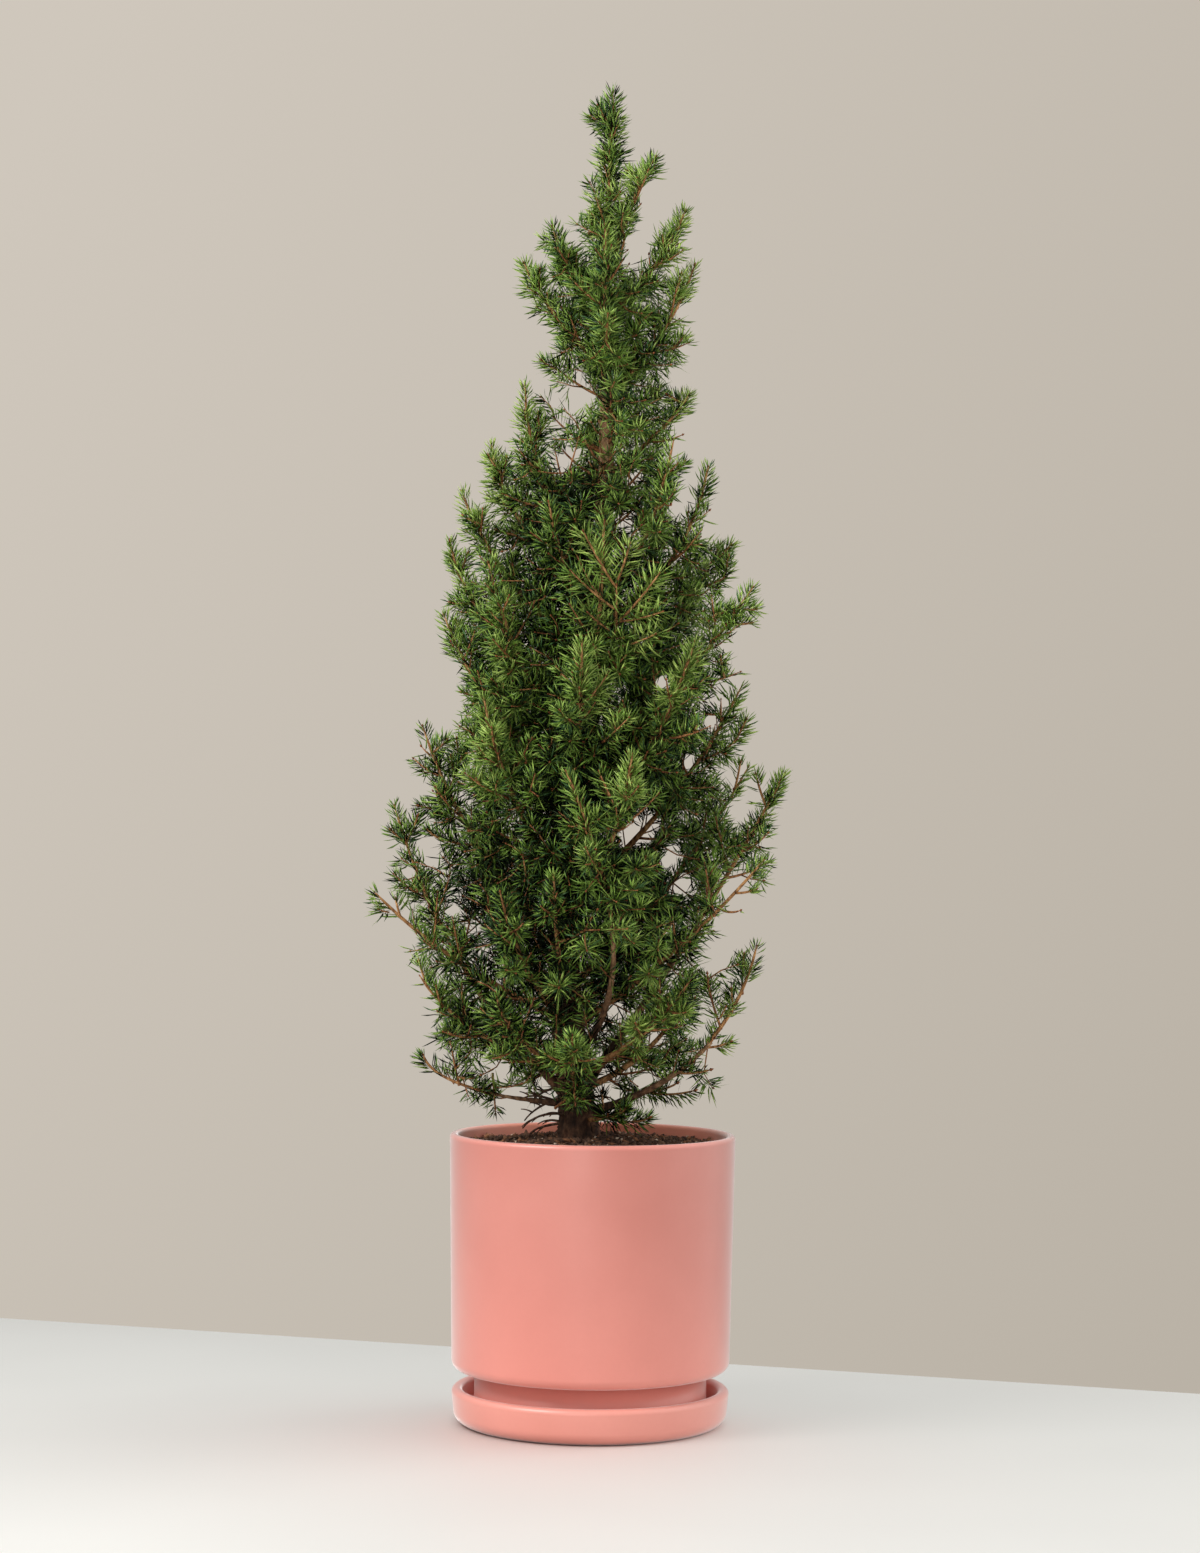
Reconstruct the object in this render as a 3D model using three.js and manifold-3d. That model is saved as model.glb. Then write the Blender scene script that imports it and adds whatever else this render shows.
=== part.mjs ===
// A dwarf conical spruce in a coral ceramic pot, which stands in its own shallow saucer.
//
// Millimetres, +Z up. The origin is the centre of the saucer's flat underside.
// From the front the viewer stands at -Y and looks along +Y, with +X to the right.
//
// Every limb of the spruce is one curve from the trunk to its tip. Its needled part is one
// mass of foliage. Where its inner part is bare, that part is a bough, and the foliage grows
// on from the bough's end.

import * as THREE from "three";
import { mergeVertices } from "three/addons/utils/BufferGeometryUtils.js";
import Module from "manifold-3d";

const wasm = await Module();
wasm.setup();

// Driving dimensions

const CLEARANCE = 0.3;
const ROUND_SIDES = 36;

const SAUCER = {
  rimRadius: 79.4,
  baseRadius: 78.4,
  height: 20.4,
  wall: 6.6,
  floor: 6.7,
  baseRound: 8,
  innerRound: 3,
};

// The foot is the narrower stand under the pot's body, which sits in the saucer.
const POT = {
  topRadius: 82,
  bottomRadius: 79.7,
  footRadius: 66.5,
  footHeight: 23.4,
  bodyHeight: 134.3,
  wall: 5,
  floor: 7,
  bottomRound: 6,
  footRound: 1,
};

// The surface is level under the trunk, and falls away from there as a low mound.
const SOIL = {
  belowRim: 7,
  moundHeight: 4,
  moundFlat: 24,
  moundRadius: 60,
  crumb: 0.9,
  rings: 4,
};

const POT_BASE = SAUCER.floor + CLEARANCE;
const BODY_BASE = POT_BASE + POT.footHeight;
const RIM_HEIGHT = BODY_BASE + POT.bodyHeight;
const SHOULDER_HEIGHT = BODY_BASE + 2 * POT.wall;
const GROUND = RIM_HEIGHT - SOIL.belowRim + SOIL.moundHeight;

// The trunk stands left of the pot's axis, bows further left low down, and comes back to the
// axis higher up. Its foot flares out into a few lobes. The whole spruce leans left a little,
// by the given share of the height.
const TRUNK = {
  height: 518,
  radius: 10.8,
  tipRadius: 2,
  taper: 0.85,
  flare: 2.8,
  flareHeight: 9,
  lobes: 5,
  lobeDepth: 0.09,
  footAcross: -8,
  bow: 9,
  bowHeight: 110,
  bowSpan: 120,
  back: 16,
  backFrom: 150,
  backTo: 400,
  weave: 4,
  weaveHeight: 95,
  lean: 0.0105,
  sides: 10,
  rings: 16,
  ringCrowding: 1.5,
};

// How a limb carries its twigs. Every second twig of the rule is shown here, four at most.
const TWIG = {
  spacing: 11,
  first: 18,
  rootSpare: 10,
  angle: THREE.MathUtils.degToRad(54),
  turn: THREE.MathUtils.degToRad(137.5),
  share: 0.62,
  shortest: 14,
  longest: 42,
  rise: 0.2,
  uneven: 0.18,
  cut: 0.8,
  leastNeedle: 0.5,
  shown: 2,
  most: 4,
};

// How a stem or a twig carries its needles, which lean forward, and most at the tip. The core
// that they stand out of is thickest halfway along.
const SPRAY = {
  needle: 13.5,
  tipShorter: 0.25,
  uneven: 0.12,
  cuts: [1, 0.75, 0.5],
  stemStep: 12.5,
  stemEdges: 6,
  stemBulge: 3.6,
  twigStep: 12,
  twigEdges: 4,
  twigBulge: 1.2,
  core: 1.6,
  lean: THREE.MathUtils.degToRad(58),
  tipLean: THREE.MathUtils.degToRad(34),
  bud: 4,
  past: 12,
};

// A limb's radius at the trunk where none is given, and what is left of it at a bough's end.
const LIMB = {
  thin: 1.4,
  perLength: 1 / 110,
  boughEnd: 0.62,
  boughSides: 7,
  boughRings: 7,
  steps: 10,
};

// Free space that a needle keeps to the wood and to the next limb's share, and its least
// height above the soil.
const WOOD_MARGIN = 1.4;
const SHARE_MARGIN = 1.5;
const LOWEST_NEEDLE = 5.5;

// Edges shorter than this are left out where two solids are joined.
const SMALLEST_EDGE = 0.1;

const COLOURS = {
  coral: 0xe48f80,
  soil: 0x3d2a20,
  bark: 0x5b4435,
  bough: 0x6b4a35,
  needles: 0x3f6b2c,
};

// How far twigs reach from the middle of the trunk, at heights above the soil.
const CROWN = [
  [0, 60],
  [25, 88],
  [60, 100],
  [100, 108],
  [150, 118],
  [210, 110],
  [260, 92],
  [310, 86],
  [370, 74],
  [400, 60],
  [430, 47],
  [500, 47],
  [535, 40],
  [570, 26],
  [610, 8],
];

// The limbs, from the soil upwards. root is the height on the trunk and top the height of the
// outermost needles, both above the soil. turn is the way the limb points, in degrees: 0 is
// right, 90 is back, 180 is left and 270 is front. reach is how far its needles end from the
// pot's axis. sweep is how much the limb goes outwards before it turns up, and veer how far it
// swings sideways. bough is the share of it that is bare, and radius its radius at the trunk.
// A limb with twigs false is a plain column of needles.
const LIMBS = [
  { name: "low_front", root: 10, turn: 302, reach: 46, top: 18, sweep: 0.1 },
  { name: "low_left", root: 19, turn: 184, reach: 103, top: 50, sweep: 0.3, bough: 0.46, radius: 1.9 },
  { name: "low_right", root: 13, turn: -12, reach: 97, top: 112, sweep: 0.28, bough: 0.6, radius: 3.1 },
  { name: "front_low", root: 32, turn: 262, reach: 80, top: 64, sweep: 0.2 },
  { name: "front_left_low", root: 38, turn: 232, reach: 90, top: 84, sweep: 0.2 },
  { name: "left_low", root: 36, turn: 198, reach: 107, top: 94, sweep: 0.16 },
  { name: "back_left_low", root: 28, turn: 135, reach: 94, top: 86, sweep: 0.24 },
  { name: "back_right_low", root: 26, turn: 48, reach: 92, top: 94, sweep: 0.24 },
  { name: "front_right_low", root: 36, turn: 312, reach: 86, top: 94, sweep: 0.12 },

  { name: "left_limb", root: 20, turn: 175, reach: 117, top: 190, sweep: 0.15, bough: 0.44, radius: 3.6 },
  { name: "right_limb", root: 24, turn: -6, reach: 113, top: 211, sweep: 0.04, bough: 0.5, radius: 3.7 },
  {
    name: "front_limb",
    root: 44,
    turn: 260,
    reach: 88,
    top: 206,
    sweep: 0.2,
    veer: 50,
    bough: 0.62,
    radius: 3,
  },
  { name: "left_reach", root: 66, turn: 188, reach: 130, top: 140, sweep: 0.08 },
  { name: "front_left", root: 66, turn: 238, reach: 98, top: 142, sweep: 0.16 },
  { name: "back_left", root: 72, turn: 130, reach: 102, top: 158, sweep: 0.18 },
  { name: "back_right", root: 68, turn: 66, reach: 96, top: 160, sweep: 0.18 },
  { name: "right_side", root: 62, turn: -28, reach: 112, top: 160, sweep: 0.06 },

  { name: "left_mid", root: 114, turn: 178, reach: 100, top: 236, sweep: 0.14 },
  { name: "right_mid", root: 134, turn: 4, reach: 89, top: 262, sweep: 0.1 },
  { name: "right_mid_back", root: 84, turn: 27, reach: 106, top: 216, sweep: 0.08 },
  { name: "front_mid_right", root: 124, turn: 284, reach: 94, top: 218, sweep: 0.2 },
  { name: "front_centre", root: 80, turn: 257, reach: 95, top: 152, sweep: 0.18 },
  { name: "front_left_mid", root: 146, turn: 224, reach: 86, top: 250, sweep: 0.16 },
  { name: "back_mid", root: 130, turn: 100, reach: 94, top: 238, sweep: 0.18 },

  { name: "left_upper", root: 198, turn: 186, reach: 88, top: 300, sweep: 0.14 },
  { name: "right_upper", root: 208, turn: -16, reach: 98, top: 316, sweep: 0.06 },
  { name: "front_upper", root: 186, turn: 266, reach: 82, top: 280, sweep: 0.2 },
  { name: "front_right_upper", root: 176, turn: 314, reach: 84, top: 282, sweep: 0.16 },
  { name: "front_left_upper", root: 222, turn: 220, reach: 78, top: 326, sweep: 0.16 },
  { name: "back_upper_left", root: 206, turn: 138, reach: 84, top: 306, sweep: 0.18 },
  { name: "back_upper_right", root: 200, turn: 58, reach: 82, top: 298, sweep: 0.18 },

  { name: "left_between", root: 238, turn: 172, reach: 86, top: 338, sweep: 0.14 },
  { name: "left_high", root: 276, turn: 184, reach: 78, top: 372, sweep: 0.14 },
  { name: "right_high", root: 262, turn: 17, reach: 80, top: 346, sweep: 0.16 },
  { name: "right_spire", root: 296, turn: -12, reach: 69, top: 386, sweep: 0.24 },
  { name: "front_fan", root: 238, turn: 276, reach: 62, top: 348, sweep: 0.24 },
  { name: "front_right_high", root: 300, turn: 324, reach: 58, top: 398, sweep: 0.16 },
  { name: "front_left_high", root: 296, turn: 240, reach: 52, top: 362, sweep: 0.14 },
  { name: "back_high", root: 282, turn: 98, reach: 62, top: 370, sweep: 0.2 },

  { name: "left_spire", root: 318, turn: 168, reach: 62, top: 402, sweep: 0.24 },
  { name: "left_candle", root: 344, turn: 200, reach: 42, top: 430, sweep: 0.34 },
  { name: "right_top", root: 382, turn: -6, reach: 60, top: 430, sweep: 0.06 },
  { name: "back_top", root: 366, turn: 92, reach: 44, top: 428, sweep: 0.2 },

  { name: "right_arm", root: 428, turn: 2, reach: 61, top: 506, sweep: 0.12 },
  { name: "left_arm", root: 444, turn: 176, reach: 43, top: 507, sweep: 0.08 },
  { name: "left_arm_high", root: 480, turn: 196, reach: 27, top: 527, sweep: 0.1 },
  { name: "right_arm_high", root: 474, turn: -4, reach: 56, top: 537, sweep: 0.1 },
  { name: "front_arm", root: 440, turn: 282, reach: 34, top: 520, sweep: 0.2 },
  { name: "back_arm", root: 446, turn: 88, reach: 38, top: 512, sweep: 0.2 },
  { name: "right_tip", root: 496, turn: -8, reach: 40, top: 569, sweep: -0.1 },
  { name: "leader", root: 518, turn: 0, reach: 12, top: 609, sweep: 0, twigs: false },
];

const TURN = 2 * Math.PI;
const HASH = { start: 2166136261, spread: 16777619, stir: 1540483477, range: 4294967296 };

// A repeatable number from 0 to 1 that belongs to these whole numbers.
function chance(...keys) {
  let mixed = HASH.start;
  for (const key of keys) {
    mixed = Math.imul(mixed ^ key, HASH.spread);
    mixed ^= mixed >>> 13;
    mixed = Math.imul(mixed, HASH.stir);
    mixed ^= mixed >>> 15;
  }
  return (mixed >>> 0) / HASH.range;
}

function around(middle, spread, ...keys) {
  return middle + spread * (2 * chance(...keys) - 1);
}

// The value at a place along a list of steps, each a place and its value.
function along(steps, place) {
  const next = steps.findIndex(([at]) => at > place);
  if (next === -1) {
    return steps[steps.length - 1][1];
  }
  const [[from, low], [to, high]] = [steps[Math.max(0, next - 1)], steps[next]];
  return THREE.MathUtils.lerp(low, high, THREE.MathUtils.clamp((place - from) / (to - from), 0, 1));
}

function smooth(from, to, value) {
  return THREE.MathUtils.smoothstep(value, from, to);
}

// Solids and geometry

function solidOf(geometry) {
  const bare = geometry.clone();
  bare.deleteAttribute("normal");
  bare.deleteAttribute("uv");
  const merged = mergeVertices(bare, 1e-4);
  return new wasm.Manifold(
    new wasm.Mesh({
      numProp: 3,
      vertProperties: merged.attributes.position.array,
      triVerts: new Uint32Array(merged.index.array),
    }),
  );
}

// The largest closed piece of a solid, without sealed hollows, loose scraps or slivers.
function mainPiece(solid) {
  const pieces = solid.simplify(SMALLEST_EDGE).decompose();
  return pieces.reduce((best, piece) => (piece.volume() > best.volume() ? piece : best));
}

function geometryOf(solid) {
  const { vertProperties, triVerts } = solid.getMesh();
  const geometry = new THREE.BufferGeometry();
  geometry.setAttribute("position", new THREE.BufferAttribute(vertProperties, 3));
  geometry.setIndex(new THREE.BufferAttribute(triVerts, 1));
  return geometry;
}

// A closed skin over rings of equally many points. Each end is flat, or runs to a point.
function skin(rings, tip) {
  const sides = rings[0].length;
  const points = rings.flat();
  const faces = [];
  for (let row = 0; row + 1 < rings.length; row += 1) {
    for (let side = 0; side < sides; side += 1) {
      const next = (side + 1) % sides;
      const [a, b] = [row * sides + side, row * sides + next];
      const [c, d] = [a + sides, b + sides];
      const fallen = (row + side) % 2 === 0;
      faces.push(...(fallen ? [a, b, c, b, d, c] : [a, b, d, a, d, c]));
    }
  }
  for (let side = 1; side + 1 < sides; side += 1) {
    faces.push(0, side + 1, side);
  }
  const last = (rings.length - 1) * sides;
  if (tip) {
    points.push(tip);
    for (let side = 0; side < sides; side += 1) {
      faces.push(last + side, last + ((side + 1) % sides), points.length - 1);
    }
  } else {
    for (let side = 1; side + 1 < sides; side += 1) {
      faces.push(last, last + side, last + side + 1);
    }
  }
  return new THREE.BufferGeometry().setFromPoints(points).setIndex(faces);
}

function lathe(profile) {
  const points = profile.map(([radius, height]) => new THREE.Vector2(radius, height));
  return new THREE.LatheGeometry(points, ROUND_SIDES).rotateX(Math.PI / 2);
}

// Points of an arc round a centre, from one angle to another in degrees.
function arc(centreRadius, centreHeight, radius, from, to, steps) {
  return Array.from({ length: steps + 1 }, (_, step) => {
    const angle = THREE.MathUtils.degToRad(from + ((to - from) * step) / steps);
    return [centreRadius + radius * Math.cos(angle), centreHeight + radius * Math.sin(angle)];
  });
}

// Pot, saucer and soil

function saucerGeometry() {
  const { rimRadius, baseRadius, height, wall, floor, baseRound, innerRound } = SAUCER;
  const lip = wall / 2;
  return lathe([
    [0, 0],
    ...arc(baseRadius - baseRound, baseRound, baseRound, -90, 0, 3),
    ...arc(rimRadius - lip, height - lip, lip, 0, 180, 4),
    ...arc(rimRadius - wall - innerRound, floor + innerRound, innerRound, 0, -90, 2),
    [0, floor],
  ]);
}

function potGeometry() {
  const { topRadius, bottomRadius, footRadius, wall, floor, bottomRound, footRound } = POT;
  const lip = wall / 2;
  return lathe([
    [0, POT_BASE],
    ...arc(footRadius - footRound, POT_BASE + footRound, footRound, -90, 0, 1),
    [footRadius, BODY_BASE],
    ...arc(bottomRadius - bottomRound, BODY_BASE + bottomRound, bottomRound, -90, 0, 3),
    ...arc(topRadius - lip, RIM_HEIGHT - lip, lip, 0, 180, 4),
    [bottomRadius - wall, SHOULDER_HEIGHT],
    [footRadius - wall, BODY_BASE],
    [footRadius - wall, POT_BASE + floor],
    [0, POT_BASE + floor],
  ]);
}

// The height of the soil's surface, which is rough with crumbs away from the trunk.
function soilHeight(radius, ring, side) {
  const fall = SOIL.moundHeight * smooth(SOIL.moundFlat, SOIL.moundRadius, radius);
  const crumb = radius > SOIL.moundFlat ? SOIL.crumb * chance(ring, side) : 0;
  return GROUND - fall - crumb;
}

// The soil fills the pot from its floor to just under the rim.
function soilGeometry() {
  const flats = Math.cos(Math.PI / ROUND_SIDES);
  const inside = (radius) => (radius - POT.wall) * flats - CLEARANCE;
  const ring = (radius, heightAt) =>
    Array.from({ length: ROUND_SIDES }, (_, side) => {
      const angle = (TURN * side) / ROUND_SIDES;
      return new THREE.Vector3(radius * Math.cos(angle), radius * Math.sin(angle), heightAt(side));
    });
  const rings = [
    ring(inside(POT.footRadius), () => POT_BASE + POT.floor + CLEARANCE),
    ring(inside(POT.footRadius), () => BODY_BASE + CLEARANCE),
    ring(inside(POT.bottomRadius), () => SHOULDER_HEIGHT + CLEARANCE),
  ];
  for (let step = SOIL.rings; step >= 1; step -= 1) {
    const radius = (inside(POT.topRadius) * step) / SOIL.rings;
    rings.push(ring(radius, (side) => soilHeight(radius, step, side)));
  }
  return skin(rings, new THREE.Vector3(0, 0, GROUND));
}

// Trunk

function trunkCentre(height) {
  const fromBow = Math.min(1, Math.abs(height - TRUNK.bowHeight) / TRUNK.bowSpan);
  const bow = (TRUNK.bow * (1 + Math.cos(Math.PI * fromBow))) / 2;
  const back = TRUNK.back * smooth(TRUNK.backFrom, TRUNK.backTo, height);
  const across = TRUNK.footAcross - bow + back - TRUNK.lean * height;
  const weave = TRUNK.weave * Math.sin(height / TRUNK.weaveHeight);
  return new THREE.Vector3(across, weave, GROUND + height);
}

function trunkRadius(height) {
  const left = Math.max(0, 1 - height / TRUNK.height);
  const flare = TRUNK.flare * Math.exp(-height / TRUNK.flareHeight);
  return TRUNK.tipRadius + (TRUNK.radius - TRUNK.tipRadius) * left ** TRUNK.taper + flare;
}

// The trunk's skin, wider and longer by the margin.
function trunkGeometry(margin = 0) {
  const rings = Array.from({ length: TRUNK.rings + 1 }, (_, row) => {
    const height = TRUNK.height * (row / TRUNK.rings) ** TRUNK.ringCrowding;
    const lobe = TRUNK.lobeDepth * Math.exp(-height / TRUNK.flareHeight);
    const centre = trunkCentre(height);
    const endLift = row === 0 ? CLEARANCE - margin : row === TRUNK.rings ? margin : 0;
    return Array.from({ length: TRUNK.sides }, (_, side) => {
      const angle = (TURN * side) / TRUNK.sides;
      const radius = trunkRadius(height) * (1 + lobe * Math.cos(TRUNK.lobes * angle)) + margin;
      return new THREE.Vector3(
        centre.x + radius * Math.cos(angle),
        centre.y + radius * Math.sin(angle),
        centre.z + endLift,
      );
    });
  });
  return skin(rings);
}

// Limbs

// A limb's whole curve, from the middle of the trunk to its tip.
function limbCurve({ root, turn, reach, top, sweep, veer = 0 }) {
  const start = trunkCentre(root);
  const angle = THREE.MathUtils.degToRad(turn);
  const end = new THREE.Vector3(reach * Math.cos(angle), reach * Math.sin(angle), GROUND + top);
  end.x -= TRUNK.lean * top;
  const across = new THREE.Vector3().subVectors(end, start);
  const bend = new THREE.Vector3(
    start.x + across.x * (0.5 + sweep) - veer * Math.sin(angle),
    start.y + across.y * (0.5 + sweep) + veer * Math.cos(angle),
    start.z + across.z * (0.5 - sweep),
  );
  const tipDirection = new THREE.Vector3().subVectors(end, bend).normalize();
  end.addScaledVector(tipDirection, -SPRAY.past);
  return new THREE.QuadraticBezierCurve3(start, bend, end);
}

function lineOf(curve, from = 0, to = 1, steps = LIMB.steps) {
  return Array.from({ length: steps + 1 }, (_, step) =>
    curve.getPoint(from + ((to - from) * step) / steps),
  );
}

function lengthOf(line) {
  return line.slice(1).reduce((sum, point, index) => sum + point.distanceTo(line[index]), 0);
}

function distanceToLine(point, line) {
  const stretch = new THREE.Vector3();
  const offset = new THREE.Vector3();
  let nearest = Infinity;
  for (let index = 0; index + 1 < line.length; index += 1) {
    stretch.subVectors(line[index + 1], line[index]);
    offset.subVectors(point, line[index]);
    const share = THREE.MathUtils.clamp(offset.dot(stretch) / stretch.lengthSq(), 0, 1);
    nearest = Math.min(nearest, offset.addScaledVector(stretch, -share).length());
  }
  return nearest;
}

// Two directions square to a direction, which turn with it and never flip.
function frameOf(direction, hint) {
  const side = new THREE.Vector3().crossVectors(direction, hint).normalize();
  const over = new THREE.Vector3().crossVectors(side, direction).normalize();
  return { side, over };
}

function hintFor(direction) {
  return Math.abs(direction.z) > 0.9 ? new THREE.Vector3(0, 1, 0) : new THREE.Vector3(0, 0, 1);
}

function spoke({ side, over }, angle) {
  return side.clone().multiplyScalar(Math.cos(angle)).addScaledVector(over, Math.sin(angle));
}

// A tapering tube with flat ends along a stretch of a curve.
function tubeGeometry(curve, from, to, steps, sides, radiusAt) {
  const hint = hintFor(curve.getTangent((from + to) / 2));
  const rings = Array.from({ length: steps + 1 }, (_, step) => {
    const share = step / steps;
    const at = from + (to - from) * share;
    const centre = curve.getPoint(at);
    const frame = frameOf(curve.getTangent(at), hint);
    return Array.from({ length: sides }, (_, side) =>
      spoke(frame, (-TURN * side) / sides).multiplyScalar(radiusAt(share)).add(centre),
    );
  });
  return skin(rings);
}

// Where each limb's bare part ends, and its needled stem begins.
const limbs = LIMBS.map((size, index) => {
  const curve = limbCurve(size);
  const line = lineOf(curve);
  const length = lengthOf(line);
  const bare = size.bough ?? 0;
  const rootRadius = size.radius ?? LIMB.thin + LIMB.perLength * length;
  return {
    ...size,
    index,
    curve,
    line,
    length,
    bare,
    rootRadius,
    stemFrom: bare ? bare + CLEARANCE / length : 0,
    stemLine: lineOf(curve, bare),
    stemRadius: bare ? rootRadius * LIMB.boughEnd : rootRadius,
  };
});

function fromTrunk(point) {
  const centre = trunkCentre(Math.min(TRUNK.height, Math.max(0, point.z - GROUND)));
  return Math.hypot(point.x - centre.x, point.y - centre.y);
}

// True where a point is the limb's own: inside the crown, clear of wood and of the soil, and
// nearer to this limb's stem than to any other.
function owns(limb, point, reachMore = 0) {
  const height = point.z - GROUND;
  if (height < LOWEST_NEEDLE || fromTrunk(point) > along(CROWN, height) + reachMore) {
    return false;
  }
  if (height < TRUNK.height && fromTrunk(point) < trunkRadius(height) + WOOD_MARGIN) {
    return false;
  }
  const own = distanceToLine(point, limb.stemLine);
  return limbs.every((other) => {
    if (other === limb) {
      return true;
    }
    const line = other.bare ? other.line : other.stemLine;
    return distanceToLine(point, line) > own + SHARE_MARGIN;
  });
}

// A limb's twigs, from its tip inwards. They turn round the stem by a fixed angle, are longer
// further from the tip, and are cut back or left out where they would leave the limb's share.
function twigsOf(limb) {
  const twigs = [];
  if (limb.twigs === false) {
    return twigs;
  }
  const stemLength = limb.length * (1 - limb.bare);
  const rootSpare = TWIG.rootSpare + (limb.bare ? 0 : trunkRadius(limb.root));
  for (let order = 0; ; order += 1) {
    const fromTip = TWIG.first + order * TWIG.spacing * around(1, TWIG.uneven, limb.index, order, 1);
    if (fromTip > stemLength - rootSpare) {
      return twigs;
    }
    const at = 1 - fromTip / limb.length;
    const start = limb.curve.getPoint(at);
    const onward = limb.curve.getTangent(at);
    const spin = order * TWIG.turn + TURN * chance(limb.index, 2);
    const frame = frameOf(onward, hintFor(limb.curve.getTangent(0.5)));
    const angle = TWIG.angle * around(1, TWIG.uneven, limb.index, order, 3);
    const direction = onward
      .clone()
      .multiplyScalar(Math.cos(angle))
      .addScaledVector(spoke(frame, spin), Math.sin(angle));
    const wanted = TWIG.share * fromTip * around(1, TWIG.uneven, limb.index, order, 4);
    let length = Math.min(TWIG.longest, Math.max(TWIG.shortest, wanted));
    while (length >= TWIG.shortest) {
      const end = start.clone().addScaledVector(direction, length);
      end.z += TWIG.rise * length;
      if (owns(limb, end)) {
        const bend = start.clone().addScaledVector(direction, length * 0.5);
        twigs.push({ order, length, curve: new THREE.QuadraticBezierCurve3(start, bend, end) });
        break;
      }
      length *= TWIG.cut;
    }
  }
}

// A spray: a slim core whose rings push every other point out as a needle. A needle that
// would leave the limb's share is shortened, or stays in the core.
function sprayGeometry(limb, { curve, from, edges, step, coreAt, needle, seed }) {
  const rows = Math.max(2, Math.round(lengthOf(lineOf(curve, from)) / step));
  const hint = hintFor(curve.getTangent(0.5));
  const twist = TURN * chance(limb.index, seed, 5);
  const rings = [];
  for (let row = 0; row <= rows; row += 1) {
    const share = row / rows;
    const at = from + (1 - from) * share;
    const centre = curve.getPoint(at);
    const onward = curve.getTangent(at);
    const frame = frameOf(onward, hint);
    const lean = THREE.MathUtils.lerp(SPRAY.lean, SPRAY.tipLean, share ** 3);
    const length = needle * (1 - SPRAY.tipShorter * share ** 2);
    const ring = [];
    for (let edge = 0; edge < edges; edge += 1) {
      const out = spoke(frame, twist - (TURN * edge) / edges);
      const inner = centre.clone().addScaledVector(out, coreAt(share));
      const long = length * around(1, SPRAY.uneven, limb.index, seed, row, edge);
      const reaches = row > 0 && (row + edge) % 2 === 0 ? SPRAY.cuts : [];
      const outer = reaches
        .map((part) =>
          inner
            .clone()
            .addScaledVector(out, part * long * Math.sin(lean))
            .addScaledVector(onward, part * long * Math.cos(lean)),
        )
        .find((point) => owns(limb, point, SPRAY.past));
      ring.push(outer ?? inner);
    }
    rings.push(ring);
  }
  const tip = curve.getPoint(1).addScaledVector(curve.getTangent(1), SPRAY.bud);
  return skin(rings, tip);
}

// The bare inner part of a limb, clear of the trunk.
function boughGeometry(limb, trunkRoom) {
  const tube = tubeGeometry(limb.curve, 0, limb.bare, LIMB.boughRings, LIMB.boughSides, (share) =>
    THREE.MathUtils.lerp(limb.rootRadius, limb.stemRadius, share),
  );
  return geometryOf(mainPiece(solidOf(tube).subtract(trunkRoom)));
}

// The needled part of a limb: its stem with the needles on it, and the sprays of its twigs.
function foliageGeometry(limb, trunkRoom) {
  const stem = sprayGeometry(limb, {
    curve: limb.curve,
    from: limb.stemFrom,
    edges: SPRAY.stemEdges,
    step: SPRAY.stemStep,
    coreAt: (share) =>
      THREE.MathUtils.lerp(limb.stemRadius, SPRAY.core, share) +
      SPRAY.stemBulge * Math.sin(Math.PI * share) ** 2,
    needle: SPRAY.needle,
    seed: 0,
  });
  const pieces = [solidOf(stem)];
  const shown = twigsOf(limb).filter(({ order }) => order % TWIG.shown === 0);
  for (const { order, length, curve } of shown.slice(0, TWIG.most)) {
    const spray = sprayGeometry(limb, {
      curve,
      from: 0,
      edges: SPRAY.twigEdges,
      step: SPRAY.twigStep,
      coreAt: (share) => SPRAY.core + SPRAY.twigBulge * Math.sin(Math.PI * share),
      needle: SPRAY.needle * Math.min(1, TWIG.leastNeedle + length / TWIG.longest),
      seed: order + 1,
    });
    pieces.push(solidOf(spray));
  }
  return geometryOf(mainPiece(wasm.Manifold.union(pieces).subtract(trunkRoom)));
}

// The scene graph

function mesh(name, geometry, colour, roughness) {
  const material = new THREE.MeshStandardMaterial({ color: colour, roughness, metalness: 0 });
  const made = new THREE.Mesh(geometry, material);
  made.name = name;
  return made;
}

const plant = new THREE.Group();
const trunkRoom = solidOf(trunkGeometry(CLEARANCE));

plant.add(mesh("saucer", saucerGeometry(), COLOURS.coral, 0.5));
plant.add(mesh("pot", potGeometry(), COLOURS.coral, 0.5));
plant.add(mesh("soil", soilGeometry(), COLOURS.soil, 1));
plant.add(mesh("trunk", trunkGeometry(), COLOURS.bark, 0.9));
for (const limb of limbs) {
  if (limb.bare) {
    plant.add(mesh(`${limb.name}_bough`, boughGeometry(limb, trunkRoom), COLOURS.bough, 0.85));
  }
  const foliage = foliageGeometry(limb, trunkRoom);
  plant.add(mesh(`${limb.name}_foliage`, foliage, COLOURS.needles, 0.6));
}

export default plant;
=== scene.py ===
import math

import bpy
import numpy as np
from mathutils import Matrix, Vector, noise


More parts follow.
